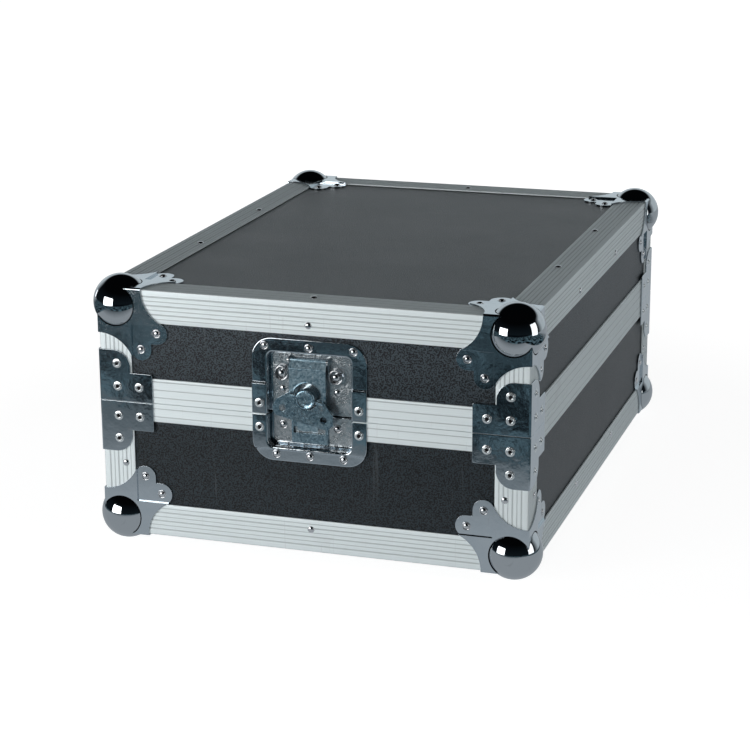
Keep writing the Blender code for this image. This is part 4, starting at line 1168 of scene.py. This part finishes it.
def turned_to_front(depth):
    """Return the place of a turned part on the spindle's axis, pointing out of the latch from a depth."""
    return Matrix.Translation((SHIFT, depth, SPINDLE_HEIGHT)) @ Matrix.Rotation(math.pi / 2, 4, "X")


def hook():
    """Return the hook: a tab that leans back, a round eye with a raised lip, a tongue and a nose."""
    side_view = in_mm((5.2, -13), (5.2, -11.4)) + [
        (FACE_BACK, -11.4 * MM), (FACE_BACK, 43 * MM), (FACE_BACK + LEAN, 51.2 * MM),
        (FACE_FRONT + LEAN, 51.2 * MM), (FACE_FRONT, 43 * MM), (FACE_FRONT, -13 * MM),
    ]
    body = plate(side_view, SHIFT - CHANNEL_HALF, SHIFT + CHANNEL_HALF, INWARDS, UP)
    front_view = both_sides(SHIFT, (16.9, 60, 0), (16.9, 8.5, 2.5), (9.5, 5, 2.5), (9.5, -13, 1.2))
    body = keep_inside(body, flat(front_view, -10, 20))
    lip = in_mm(
        (12.6, 0.1), (13.3, 0.1), (13.45, 0.42), (13.8, 0.55),
        (14.2, 0.42), (14.6, 0.0), (14.6, -0.8), (12.6, -0.8),
    )
    ring = lathe(lip, turned_to_front(FACE_FRONT), 64, True)
    body = trim(unite(body, ring), along_spindle(-8, 8, 13.3, 64))
    return soften(unite(body, pin(19, 1.5, 32)), 0.4 * MM, 3, 17)


# %% Spindle and wing
TILT = math.radians(12.6)
FOLD_DEPTH = -1.8 * MM
BOSS_RADIUS = 8.75 * MM


def spindle():
    """Return the spindle: a boss with a bright rim and a dished face, a neck and a riveted tail."""
    profile = in_mm(
        (0, 5.25), (3.5, 5.3), (6.0, 5.5), (6.75, 5.65), (7.15, 5.95), (7.6, 6.0), (8.2, 5.85), (8.6, 5.45),
        (8.75, 5.0), (8.75, -8.0), (3.0, -8.0), (3.0, -11.0), (5.0, -11.0), (5.0, -11.8), (4.6, -12.2),
        (0, -12.2),
    )
    middle = Vector((SHIFT, FOLD_DEPTH, SPINDLE_HEIGHT))
    reach = Matrix.Rotation(TILT, 3, "Y") @ Vector((12 * MM, 0, 0))
    body = trim(lathe(profile, turned_to_front(0), 64), rod(middle - reach, middle + reach, 1.8 * MM, 20))
    return soften(body, 0.12 * MM, 2, 40)


def wing():
    """Return the wing: a plate notched round the boss, with two holes and a hinge stub at each side."""
    notch = math.hypot(BOSS_RADIUS, 4.2 * MM) + 0.7 * MM
    chin = math.degrees(math.asin(2 * MM / notch))
    corners = in_mm((15.7, 2.0, 0.8), (27.0, -8.5, 2.5), (28.8, -16.8, 2.4), (24.6, -22.6, 2.2))
    corners += [(-x, z, r) for x, z, r in reversed(corners)]
    outline = rounded(corners) + arc((0, 0), notch, 180 - chin, 360 + chin, 28)
    body = plate(outline, -0.7 * MM, 0.7 * MM, ACROSS, UP)
    for side in (-1, 1):
        hole = side * 19.4 * MM
        body = trim(body, rod((hole, -5 * MM, -14.6 * MM), (hole, 5 * MM, -14.6 * MM), 3.2 * MM, 36))
        knuckle = rod((side * 9.45 * MM, 0, 0), (side * 15.7 * MM, 0, 0), 1.8 * MM, 24)
        stub = rod((side * 4.95 * MM, 0, 0), (side * (notch + 1.8 * MM), 0, 0), 1.5 * MM, 20)
        body = unite(body, knuckle, stub)
    mesh = soften(body, 0.5 * MM, 3, 40)
    mesh.transform(Matrix.Translation((SHIFT, FOLD_DEPTH, SPINDLE_HEIGHT)) @ Matrix.Rotation(TILT, 4, "Y"))
    return mesh


# %% Both latches
latch_parts = (
    ("hinge_plate", hinge_plate(), nickel, "lid"),
    ("keeper", keeper(), None, "base"),
    ("latch_hook", hook(), pale_zinc, "hook_"),
    ("latch_spindle", spindle(), zinc, "spindle_"),
    ("latch_wing", wing(), zinc, "wing_"),
)
for side, place in LATCHES.items():
    for name, mesh, finish, body in latch_parts:
        node = name + "_" + side
        if body in ("lid", "base"):
            add_piece("punched_" + node, moved(mesh, place), finish, body)
        else:
            add_piece("punched_" + node, moved(mesh, place), finish, body + side, [node])
print("latch parts:", {name: len(mesh.polygons) for name, mesh, finish, body in latch_parts})

# %% [markdown]
# ## The carrying handle
#
# The left side has a recessed handle: a dish like the latch's, and a steel bail with a ribbed rubber grip.
# The bail is a bar bent round, so it is a curve with a round section; the grip is turned, with its ribs in
# the profile.

# %% Handle dish
HANDLE = Matrix.Translation((-HALF_WIDTH, 0, 77.9 * MM)) @ Matrix.Rotation(-math.pi / 2, 4, "Z")
AXIS_RISE = 17 * MM
AXIS_DEPTH = 8.5 * MM
DROP = 30 * MM
skin = pressed_skin(*in_mm((64, -35, 35, 12), (50, -25, 25, 4)), FLANGE_FACE, 16 * MM)
far = 60 * MM
handle_sheet = sheet_from(skin, rod((-far, AXIS_DEPTH, AXIS_RISE), (far, AXIS_DEPTH, AXIS_RISE), 3.5 * MM))
add_piece("pressed_handle_dish", moved(handle_sheet, HANDLE), chrome, "base", ["handle_dish"])
print("handle dish:", len(handle_sheet.polygons), "faces")

# %% Bail, bent from one bar
bend = 7 * MM
leg = 42 * MM
line = [(-51.2 * MM, 0)] + arc((-leg - bend, -bend), bend, 90, 0, 8)
line += arc((-leg + bend, -DROP + bend), bend, 180, 270, 8)
line += [(-a, b) for a, b in reversed(line)]
curve = bpy.data.curves.new("bail_line", "CURVE")
curve.dimensions = "3D"
curve.bevel_depth = 3.2 * MM
curve.bevel_resolution = 6
curve.use_fill_caps = True
spline = curve.splines.new("POLY")
spline.points.add(len(line) - 1)
for point, (across, height) in zip(spline.points, line):
    point.co = (across, AXIS_DEPTH, AXIS_RISE + height, 1)
bm = bmesh_of(taken_off(on_bench(curve)))
bmesh.ops.remove_doubles(bm, verts=bm.verts, dist=0.001 * MM)
bmesh.ops.recalc_face_normals(bm, faces=bm.faces)
bar = smooth_below(mesh_of(bm), 40)
add_piece("bent_handle_bail", moved(bar, HANDLE), zinc, "bail", ["handle_bail"])

# %% Grip, turned with its ribs
RIBS = 13
half = 32 * MM
ends = in_mm((3.25, 0), (5.6, 0), (6.1, 0.5))
profile = [(radius, step - half) for radius, step in ends]
for i in range(RIBS):
    middle = -half + 3 * MM + (2 * half - 6 * MM) * i / (RIBS - 1)
    rib = in_mm((5.7, -1.9), (6.3, -1.3), (6.48, -0.6), (6.48, 0.6), (6.3, 1.3), (5.7, 1.9))
    profile += [(radius, middle + step) for radius, step in rib]
profile += [(radius, half - step) for radius, step in reversed(ends)]
lying = Matrix.Translation((0, AXIS_DEPTH, AXIS_RISE - DROP)) @ Matrix.Rotation(math.pi / 2, 4, "Y")
grip = smooth_below(lathe(profile, lying, 40, True).data, 50)
add_piece("ribbed_handle_grip", moved(grip, HANDLE), grip_rubber, "bail")
print("grip:", RIBS, "ribs over", round(2 * half / MM), "mm")

# %% [markdown]
# ## Rivets
#
# Three kinds of rivet hold the hardware. Collared ones have a domed head with a thin collar round it, and
# sit on the ball corners and the dishes. Plain ones have a low dome, and sit on the edging and the hinge
# plates. Blind ones show a flat head with a ring round the hole that their mandrel left, and hold the
# braces and the sides of the dishes; their hole is not cut but drawn as a small near-black dome, painted
# shade. There are more than a hundred in all, so one Geometry Nodes tree builds a head from named sizes
# and sets it on every point that it is given, turned to the way that the point's own attribute faces.

# %% The rivet tree
HOLE_DEPTH = 0.8 * MM
rivets, given, result = new_group(
    "rivets_on_points",
    {
        "Points": "Geometry",
        "Head Radius": 0.003,
        "Head Height": 0.0015,
        "Ring Radius": 0.003,
        "Ring Wire": 0.0005,
        "Ring Height": 0.0005,
        "Hole Radius": 0.001,
        "Hollow": False,
        "Finish": "Material",
        "Hole Finish": "Material",
    },
    {"Rivets": "Geometry"},
    "GeometryNodeTree",
)


def stretched(tree, shape, x, y, z):
    """Return a shape stretched along its three axes."""
    size = output_of(tree, "ShaderNodeCombineXYZ", {0: x, 1: y, 2: z})
    return output_of(tree, "GeometryNodeTransform", {"Geometry": shape, "Scale": size})


def circle(tree, radius, steps):
    """Return a circle as a line."""
    return output_of(tree, "GeometryNodeCurvePrimitiveCircle", {"Resolution": steps, "Radius": radius})


def tube(tree, line, wire, steps, caps=False):
    """Return a round wire along a line."""
    inputs = {"Curve": line, "Profile Curve": circle(tree, wire, steps), "Fill Caps": caps}
    return output_of(tree, "GeometryNodeCurveToMesh", inputs)


ball = output_of(rivets, "GeometryNodeMeshUVSphere", {"Segments": 20, "Rings": 10, "Radius": 1.0})
head = stretched(rivets, ball, given["Head Radius"], given["Head Radius"], given["Head Height"])
# A near-black dome on the head stands for the hole: painted shade where the hole would be.
shade_dome = stretched(rivets, ball, given["Hole Radius"], given["Hole Radius"], HOLE_DEPTH)
marked = output_of(
    rivets,
    "GeometryNodeStoreNamedAttribute",
    {"Geometry": shade_dome, "Name": "hole", "Value": True},
    data_type="BOOLEAN",
    domain="FACE",
)
shown = output_of(rivets, "GeometryNodeSwitch", {"Switch": given["Hollow"], "True": marked})
flatness = maths(rivets, "DIVIDE", given["Ring Height"], given["Ring Wire"])
line = circle(rivets, given["Ring Radius"], 28)
ring = stretched(rivets, tube(rivets, line, given["Ring Wire"], 10), 1.0, 1.0, flatness)
both = output_of(rivets, "GeometryNodeJoinGeometry", {0: [head, shown, ring]})
smooth = output_of(rivets, "GeometryNodeSetShadeSmooth", {"Geometry": both})
facing = output_of(rivets, "GeometryNodeInputNamedAttribute", {"Name": "facing"}, data_type="FLOAT_VECTOR")
aim = output_of(rivets, "FunctionNodeAlignRotationToVector", {"Vector": facing}, axis="Z")
laid = output_of(
    rivets, "GeometryNodeInstanceOnPoints", {"Points": given["Points"], "Instance": smooth, "Rotation": aim}
)
steel = coated(rivets, laid, given["Finish"])
hole = output_of(rivets, "GeometryNodeInputNamedAttribute", {"Name": "hole"}, data_type="BOOLEAN")
dark = output_of(
    rivets, "GeometryNodeSetMaterial", {0: steel, "Selection": hole, "Material": given["Hole Finish"]}
)
rivets.links.new(dark, result[0])
print("rivet tree:", len(rivets.nodes), "nodes")

# %% Where the rivets sit
SIZES = ("Head_Radius", "Head_Height", "Ring_Radius", "Ring_Wire", "Ring_Height", "Hole_Radius")
KINDS = {
    "collared": (2.9, 1.6, 3.5, 0.55, 0.28),
    "plain": (3.1, 1.4, 2.9, 0.35, 0.2),
    "blind": (4.3, 0.45, 2.3, 0.75, 0.95, 1.9),
}
spots = {(body, kind): [] for body in ("lid", "base") for kind in KINDS}


def mark(body, kind, place, *points):
    """Note rivets, each a point in millimetres and the way that it faces, moved by a place."""
    turn = place.to_3x3()
    for point, way in points:
        spots[body, kind].append((place @ (Vector(point) * MM), turn @ Vector(way)))


lobes = []
for near, far in ((39.5, 55), (55, 39.5)):
    lobes += [((-0.3, -near, -far), ACROSS), ((-near, -0.3, -far), INWARDS), ((-near, -far, -0.3), UP)]
stems = []
for inset, height in ((16.3, 13.8), (37, 13.8), (16.3, 34.9)):
    stems += [((1.5, -inset, height), ACROSS), ((-inset, 1.5, height), INWARDS)]
for corner in CORNERS:
    x, y, turn = corner_place(corner)
    mark("lid", "collared", Matrix.Translation((x, y, TOP_Z)) @ turn, *lobes)
    mark("base", "collared", Matrix.Translation((x, y, UNDERSIDE_Z)) @ turn @ OVER, *lobes)
    upright = Matrix.Translation((x, y, SPLIT_Z)) @ turn
    mark("lid", "blind", upright, *stems)
    mark("base", "blind", upright @ OVER, *stems)
    mark("base", "plain", upright, ((0, -21, -58.4), ACROSS), ((-21, 0, -58.4), INWARDS))
width, depth = HALF_WIDTH / MM, HALF_DEPTH / MM
for body, z, way in (("lid", TOP_Z, 1), ("base", UNDERSIDE_Z, -1)):
    level = z / MM
    for sign in (-1, 1):
        beside = level - way * 21
        points = [((0, sign * depth, beside), (0, sign, 0)), ((0, sign * (depth - 17), level), (0, 0, way))]
        for y in (-80, 80):
            points.append(((sign * width, y, beside), (sign, 0, 0)))
            points.append(((sign * (width - 21), y, level), (0, 0, way)))
        mark(body, "plain", Matrix(), *points)
for body, kind, depth, height, *places in (
    ("lid", "collared", 0.3, 62.4, -41, 0, 41),
    ("base", "collared", 0.3, -36.4, -31.2, 0, 31.2),
    ("lid", "blind", -1.5, 10.1, -46, 46),
    ("base", "blind", -1.5, -12, -46, 46),
    ("lid", "plain", 8.3, 22, -27.2, 23.2),
    ("base", "collared", 8.3, -11, -27.1, 23.1),
):
    for place in LATCHES.values():
        mark(body, kind, place, *[((x, depth, height), (0, -1, 0)) for x in places])
mark("base", "collared", HANDLE, *[((x, 0.3, z), (0, -1, 0)) for x in (-56, 0, 56) for z in (-30, 30)])

# %% Setting them
for (body, kind), places in spots.items():
    cloud = bpy.data.meshes.new("spots")
    cloud.from_pydata([place for place, way in places], [], [])
    ways = cloud.attributes.new("facing", "FLOAT_VECTOR", "POINT")
    for value, (place, way) in zip(ways.data, places):
        value.vector = way
    sizes = {name: size * MM for name, size in zip(SIZES, KINDS[kind])}
    hollow = "Hole_Radius" in sizes
    finish = satin_rivet if hollow else bright
    heads = run_tree(rivets, cloud, Hollow=hollow, Finish=finish, Hole_Finish=hole_shade, **sizes)
    add_piece(kind + "_rivets_" + body, heads, None, body)
    print(body, kind, "rivets:", len(places), "with", len(heads.polygons), "faces")

# %% [markdown]
# ## Torsion springs
#
# Two small springs press the hook outwards. Each winds round a post and ends in an arm that reaches the
# hook's tab. A spring is a helix and nothing else, so a second tree sweeps a round wire along a spiral with
# its turns and sizes as named inputs, and adds the post.

# %% The spring tree
springs, given, result = new_group(
    "wound_spring",
    {
        "Post": "Geometry",
        "Turns": 3.5,
        "Coil Radius": 0.0054,
        "Wire Radius": 0.0006,
        "Height": 0.0045,
        "Arm Start": "Vector",
        "Arm End": "Vector",
        "Finish": "Material",
    },
    {"Spring": "Geometry"},
    "GeometryNodeTree",
)
wind = {"Resolution": 36, "Rotations": given["Turns"], "Height": given["Height"]}
wind.update({"Start Radius": given["Coil Radius"], "End Radius": given["Coil Radius"]})
helix = output_of(springs, "GeometryNodeCurveSpiral", wind)
ends = {"Start": given["Arm Start"], "End": given["Arm End"]}
arm = output_of(springs, "GeometryNodeCurvePrimitiveLine", ends)
line = output_of(springs, "GeometryNodeJoinGeometry", {0: [helix, arm]})
wound = tube(springs, line, given["Wire Radius"], 12, caps=True)
smooth = output_of(springs, "GeometryNodeSetShadeSmooth", {"Geometry": wound})
whole = output_of(springs, "GeometryNodeJoinGeometry", {0: [smooth, given["Post"]]})
springs.links.new(coated(springs, whole, given["Finish"]), result[0])

# %% Four springs
post_profile = in_mm(
    (0, 5.6), (1.2, 5.45), (2.3, 5.0), (3.0, 4.3), (3.2, 3.9), (2.6, 3.8), (2.6, -1.0), (0, -1.0)
)
coils = []
for side in (-1, 1):
    post = smooth_below(lathe(post_profile, Matrix(), 32).data, 45)
    arm_start, arm_end = in_mm((-side * 6.0, 0, 3.6), (-side * 6.9, 11.5, 3.6))
    sizes = {"Turns": 4.5, "Height": 4.4 * MM, "Coil_Radius": 6.0 * MM, "Wire_Radius": 0.65 * MM}
    coil = run_tree(springs, post, Arm_Start=arm_start, Arm_End=arm_end, Finish=bright, **sizes)
    foot = (SHIFT + side * 25.1 * MM, 8.3 * MM, 37 * MM)
    place = Matrix.Translation(foot) @ Matrix.Rotation(math.pi / 2, 4, "X")
    coils += [moved(coil, latch @ place) for latch in LATCHES.values()]
mesh = mesh_of(bmesh_of(*coils))
add_piece("torsion_springs", mesh, bright, "lid")
print("springs:", len(mesh.polygons), "faces in all")

# %% [markdown]
# ## Foam
#
# A foam pad lies on the bottom and another under the lid's top. Cut foam has soft edges and is never quite
# level, so each pad is a fine grid whose rim is rounded over and whose top sinks a little here and there,
# by a noise that is the same each time.

# %% Pads
PAD_HALF_X = 186.4 * MM
PAD_HALF_Y = 258.4 * MM
COLUMNS, ROWS = 60, 84
ROUND_OVER = 3 * MM


def sunk(x, y, seed):
    """Return how far the foam's exposed side lies below its level."""
    edge = min(PAD_HALF_X - abs(x), PAD_HALF_Y - abs(y))
    over = max(0.0, 1 - edge / (3 * ROUND_OVER))
    return 0.25 * MM * (1 + noise.noise(Vector((x * 30, y * 30, seed)))) + ROUND_OVER * over**2 * 0.6


def foam_pad(low, high, exposed):
    """Return a pad between two levels whose exposed side, the top (1) or the underside (-1), is uneven."""
    bm = bmesh.new()
    grid = {}
    for side, level in ((-1, low), (1, high)):
        for i in range(COLUMNS + 1):
            for j in range(ROWS + 1):
                x = PAD_HALF_X * (2 * i / COLUMNS - 1)
                y = PAD_HALF_Y * (2 * j / ROWS - 1)
                dip = sunk(x, y, low * 50) if side == exposed else 0.0
                grid[side, i, j] = bm.verts.new((x, y, level - side * dip))
        for i in range(COLUMNS):
            for j in range(ROWS):
                quad = [grid[side, i + a, j + b] for a, b in ((0, 0), (1, 0), (1, 1), (0, 1))]
                bm.faces.new(quad[::side])
    rim = [(i, 0) for i in range(COLUMNS)] + [(COLUMNS, j) for j in range(ROWS)]
    rim += [(i, ROWS) for i in range(COLUMNS, 0, -1)] + [(0, j) for j in range(ROWS, 0, -1)]
    for here, after in zip(rim, rim[1:] + rim[:1]):
        corners = ((-1, here), (-1, after), (1, after), (1, here))
        bm.faces.new([grid[(side, *place)] for side, place in corners])
    bmesh.ops.recalc_face_normals(bm, faces=bm.faces)
    return smooth_below(mesh_of(bm), 50)


for node, low, high, exposed in (("base_foam_pad", 20.1, 30.1, 1), ("lid_foam_pad", 216.9, 226.9, -1)):
    mesh = foam_pad(low * MM, high * MM, exposed)
    pad = add_piece("soft_" + node, mesh, foam, node.split("_")[0], [node])
    print(node, "with", len(mesh.polygons), "faces")

# %% [markdown]
# ## Panels
#
# The plywood panels are plain boards whose edges the aluminium hides, so the CAD nodes stay as they are and
# only take the laminate.

# %% Laminate on the panels
panels = [name for name in frame["nodes"] if name.endswith("_panel")]
for name in panels:
    frame["nodes"][name].material_slots[0].material = laminate
print(len(panels), "panels in laminate")

# %% [markdown]
# ## The studio
#
# Chrome shows its surroundings more than itself, so the studio matters as much as the finish. The
# photograph's balls show it: a dark room, one wide softbox to the left of the camera, one tall softbox to
# the right, a bright strip at the left, a pale wall behind the case, and a grey tabletop that ends not far
# in front of it. Here the softboxes are area lights. The room and the tabletop are cards that only
# mirror-like rays meet, much as black and grey cards are stood round chrome in a studio. Five more area
# lights fill in the front, the top, the back and both sides, and no reflection shows them. The floor and
# the world stay pale for the camera and for reflections past the cards, and the floor keeps the case's
# shadow.

# %% Floor and world
WHITE = (1.0, 1.0, 1.0, 1.0)
studio = bpy.data.collections.new("studio")
bpy.context.scene.collection.children.link(studio)


def add_to_studio(name, data):
    """Add an object that belongs to the studio and not to the case."""
    item = bpy.data.objects.new(name, data)
    studio.objects.link(item)
    return item


def add_stage(name, mesh, material, only_reflected=False):
    """Add a mesh round the case. Only mirror-like rays meet one that is only reflected."""
    mesh.materials.append(material)
    item = add_to_studio(name, mesh)
    item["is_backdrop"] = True
    if only_reflected:
        for kind in ("camera", "diffuse", "transmission", "volume_scatter", "shadow"):
            setattr(item, "visible_" + kind, False)


def square(half, height):
    """Return a level square round the middle of the scene, facing up."""
    mesh = bpy.data.meshes.new("square")
    corners = [(x * half, y * half, height) for x, y in ((-1, -1), (1, -1), (1, 1), (-1, 1))]
    mesh.from_pydata(corners, [], [(0, 1, 2, 3)])
    return mesh


def cleared(owner):
    """Return the empty node tree of a new material or world."""
    owner.use_nodes = True
    owner.node_tree.nodes.clear()
    return owner.node_tree


def shown_or_not(tree, hidden, shown, output):
    """Show one shader to the camera and to what a mirror or glass sends on, and another to all other rays."""
    path = tree.nodes.new("ShaderNodeLightPath").outputs
    first = maths(tree, "MAXIMUM", path["Is Camera Ray"], path["Is Glossy Ray"])
    seen = maths(tree, "MAXIMUM", first, path["Is Transmission Ray"])
    add_node(tree, output, {0: output_of(tree, "ShaderNodeMixShader", {0: seen, 1: hidden, 2: shown})})


floor_paint = bpy.data.materials.new("pale_floor")
tree = cleared(floor_paint)
lit = output_of(tree, "ShaderNodeBsdfDiffuse", {"Color": (0.36, 0.36, 0.36, 1.0)})
x, y = parts_of(tree, place_of(tree))[:2]
away = maths(tree, "SQRT", maths(tree, "ADD", maths(tree, "MULTIPLY", x, x), maths(tree, "MULTIPLY", y, y)))
strength = spread(tree, away, 0.45, 1.1, 0.89, 1.03)
glow = output_of(tree, "ShaderNodeEmission", {"Color": WHITE, "Strength": strength})
glowing = output_of(tree, "ShaderNodeAddShader", {0: lit, 1: glow})
shown_or_not(tree, lit, glowing, "ShaderNodeOutputMaterial")
add_stage("studio_floor", square(6.0, 0.0), floor_paint)

world = bpy.data.worlds.new("pale_studio")
bpy.context.scene.world = world
tree = cleared(world)
dim = output_of(tree, "ShaderNodeBackground", {"Color": (0.86, 0.95, 1.0, 1.0), "Strength": 0.045})
pale = output_of(tree, "ShaderNodeBackground", {"Color": WHITE, "Strength": 1.0})
shown_or_not(tree, dim, pale, "ShaderNodeOutputWorld")

# %% Cards that only reflections meet
ROOM = 4.0
CARD_HALF = 4.2


def window(tree, value, low, high, soft):
    """Return 1 where a value lies between low and high, with soft ends."""
    rise = spread(tree, value, low - soft, low + soft)
    return maths(tree, "MULTIPLY", rise, spread(tree, value, high - soft, high + soft, 1.0, 0.0))


def card_material(name):
    """Return a material that only glows, its tree, the socket of its colour and the place on the card."""
    made = bpy.data.materials.new(name)
    tree = cleared(made)
    glow = tree.nodes.new("ShaderNodeEmission")
    add_node(tree, "ShaderNodeOutputMaterial", {0: glow.outputs[0]})
    return made, tree, glow.inputs["Color"], place_of(tree)


room_card, tree, colour, place = card_material("room_card")
x, y, z = parts_of(tree, place)
turned = maths(tree, "ARCTAN2", x, maths(tree, "MULTIPLY", y, -1.0))
azimuth = maths(tree, "MULTIPLY", turned, 180 / math.pi)
raised = maths(tree, "ARCSINE", maths(tree, "DIVIDE", z, ROOM))
elevation = maths(tree, "MULTIPLY", raised, 180 / math.pi)
behind = window(tree, maths(tree, "ABSOLUTE", azimuth), 112.0, 400.0, 12.0)
wall = maths(tree, "MULTIPLY", behind, window(tree, elevation, -60.0, 30.0, 5.0))
strip = maths(
    tree, "MULTIPLY", window(tree, azimuth, -112.0, -106.0, 0.6), window(tree, elevation, -3.0, 11.0, 1.5)
)
high_up = spread(tree, elevation, -5.0, 40.0)
night = colour_between(tree, high_up, (0.009, 0.014, 0.018), (0.0015, 0.0018, 0.0022))
with_wall = colour_between(tree, wall, night, (0.60, 0.66, 0.69))
tree.links.new(colour_between(tree, strip, with_wall, (3.0, 3.0, 3.1)), colour)
bm = bmesh.new()
bmesh.ops.create_uvsphere(bm, u_segments=48, v_segments=24, radius=ROOM)
add_stage("room_card", mesh_of(bm), room_card, True)

table_card, tree, colour, place = card_material("table_card")
x, y = parts_of(tree, place)[:2]
wide = window(tree, x, -0.57, 0.45, 0.012)
slanted = maths(tree, "SUBTRACT", y, maths(tree, "MULTIPLY", x, 0.19))
under_case = maths(tree, "MULTIPLY", wide, window(tree, slanted, -0.605, 3.0, 0.012))
tabletop = maths(tree, "MAXIMUM", under_case, window(tree, y, 0.35, 9.0, 0.25))
top = colour_between(tree, spread(tree, y, -0.62, -0.38), (0.13, 0.155, 0.17), (0.40, 0.43, 0.455))
cloud = maths(tree, "MULTIPLY", grain(tree, place, 9.0, 0.22), 0.7)
specks = maths(tree, "MULTIPLY", grain(tree, place, 45.0, 0.6), 0.3)
clouds = spread(tree, maths(tree, "ADD", cloud, specks), 0.36, 0.72)
bright_part = maths(tree, "MULTIPLY", clouds, spread(tree, y, -1.6, -1.15))
past = colour_between(tree, bright_part, (0.002, 0.004, 0.006), (0.115, 0.185, 0.220))
tree.links.new(colour_between(tree, tabletop, past, top), colour)
add_stage("table_card", square(CARD_HALF, 0.6 * MM), table_card, True)


# %% Softboxes
def add_softbox(name, azimuth, elevation, distance, width, height, radiance, reflected=False):
    """Add an area light that faces the case, of a size in metres and a radiance."""
    light = bpy.data.lights.new(name, "AREA")
    light.shape = "RECTANGLE"
    light.size = width
    light.size_y = height
    light.energy = radiance * math.pi * width * height
    lamp = add_to_studio(name, light)
    turn = math.radians(azimuth)
    lift = math.radians(elevation)
    aim = Vector((0, 0, 0.14))
    way = Vector((math.sin(turn) * math.cos(lift), -math.cos(turn) * math.cos(lift), math.sin(lift)))
    lamp.location = aim + distance * way
    lamp.rotation_euler = (aim - lamp.location).to_track_quat("-Z", "Y").to_euler()
    lamp.visible_camera = False
    lamp.visible_glossy = reflected


add_softbox("left_softbox", -33.5, 6.0, 1.6, 0.95, 0.70, 4.6, True)
add_softbox("right_softbox", 77.0, 12.0, 1.6, 0.66, 0.95, 2.1, True)
add_softbox("front_fill", 0.0, 4.0, 2.6, 1.8, 1.2, 4.9)
add_softbox("top_fill", 160.0, 75.0, 2.4, 1.8, 1.8, 0.06)
add_softbox("back_fill", 172.0, 3.0, 2.6, 1.8, 1.2, 3.0)
add_softbox("left_fill", -92.0, 3.0, 2.6, 1.8, 1.2, 2.2)
add_softbox("side_fill", 95.0, 8.0, 2.6, 1.6, 1.2, 0.4)

# %% Camera
camera_data = bpy.data.cameras.new("photo_camera")
camera_data.lens = 103.26
camera_data.sensor_width = 36.0
camera = add_to_studio("photo_camera", camera_data)
camera.location = (0.6033, -1.9595, 0.6944)
camera.rotation_euler = [math.radians(turn) for turn in (73.7743, 0.2779, 17.7271)]
bpy.context.scene.camera = camera
bpy.context.scene.view_settings.view_transform = "Standard"
print("camera at", [round(c, 3) for c in camera.location], "with a lens of", camera_data.lens, "mm")

# %% Clear the bench, measure both boxes and print them
for tool in list(bench.objects):
    bpy.data.objects.remove(tool, do_unlink=True)
bpy.data.collections.remove(bench)
visual_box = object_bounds()
sizes = {
    "cad": [list(corner) for corner in cad_box],
    "visual": [list(corner) for corner in visual_box],
}
print("CAD box", [[round(c * 1000, 1) for c in corner] for corner in sizes["cad"]])
print("visual box", [[round(c * 1000, 1) for c in corner] for corner in sizes["visual"]])
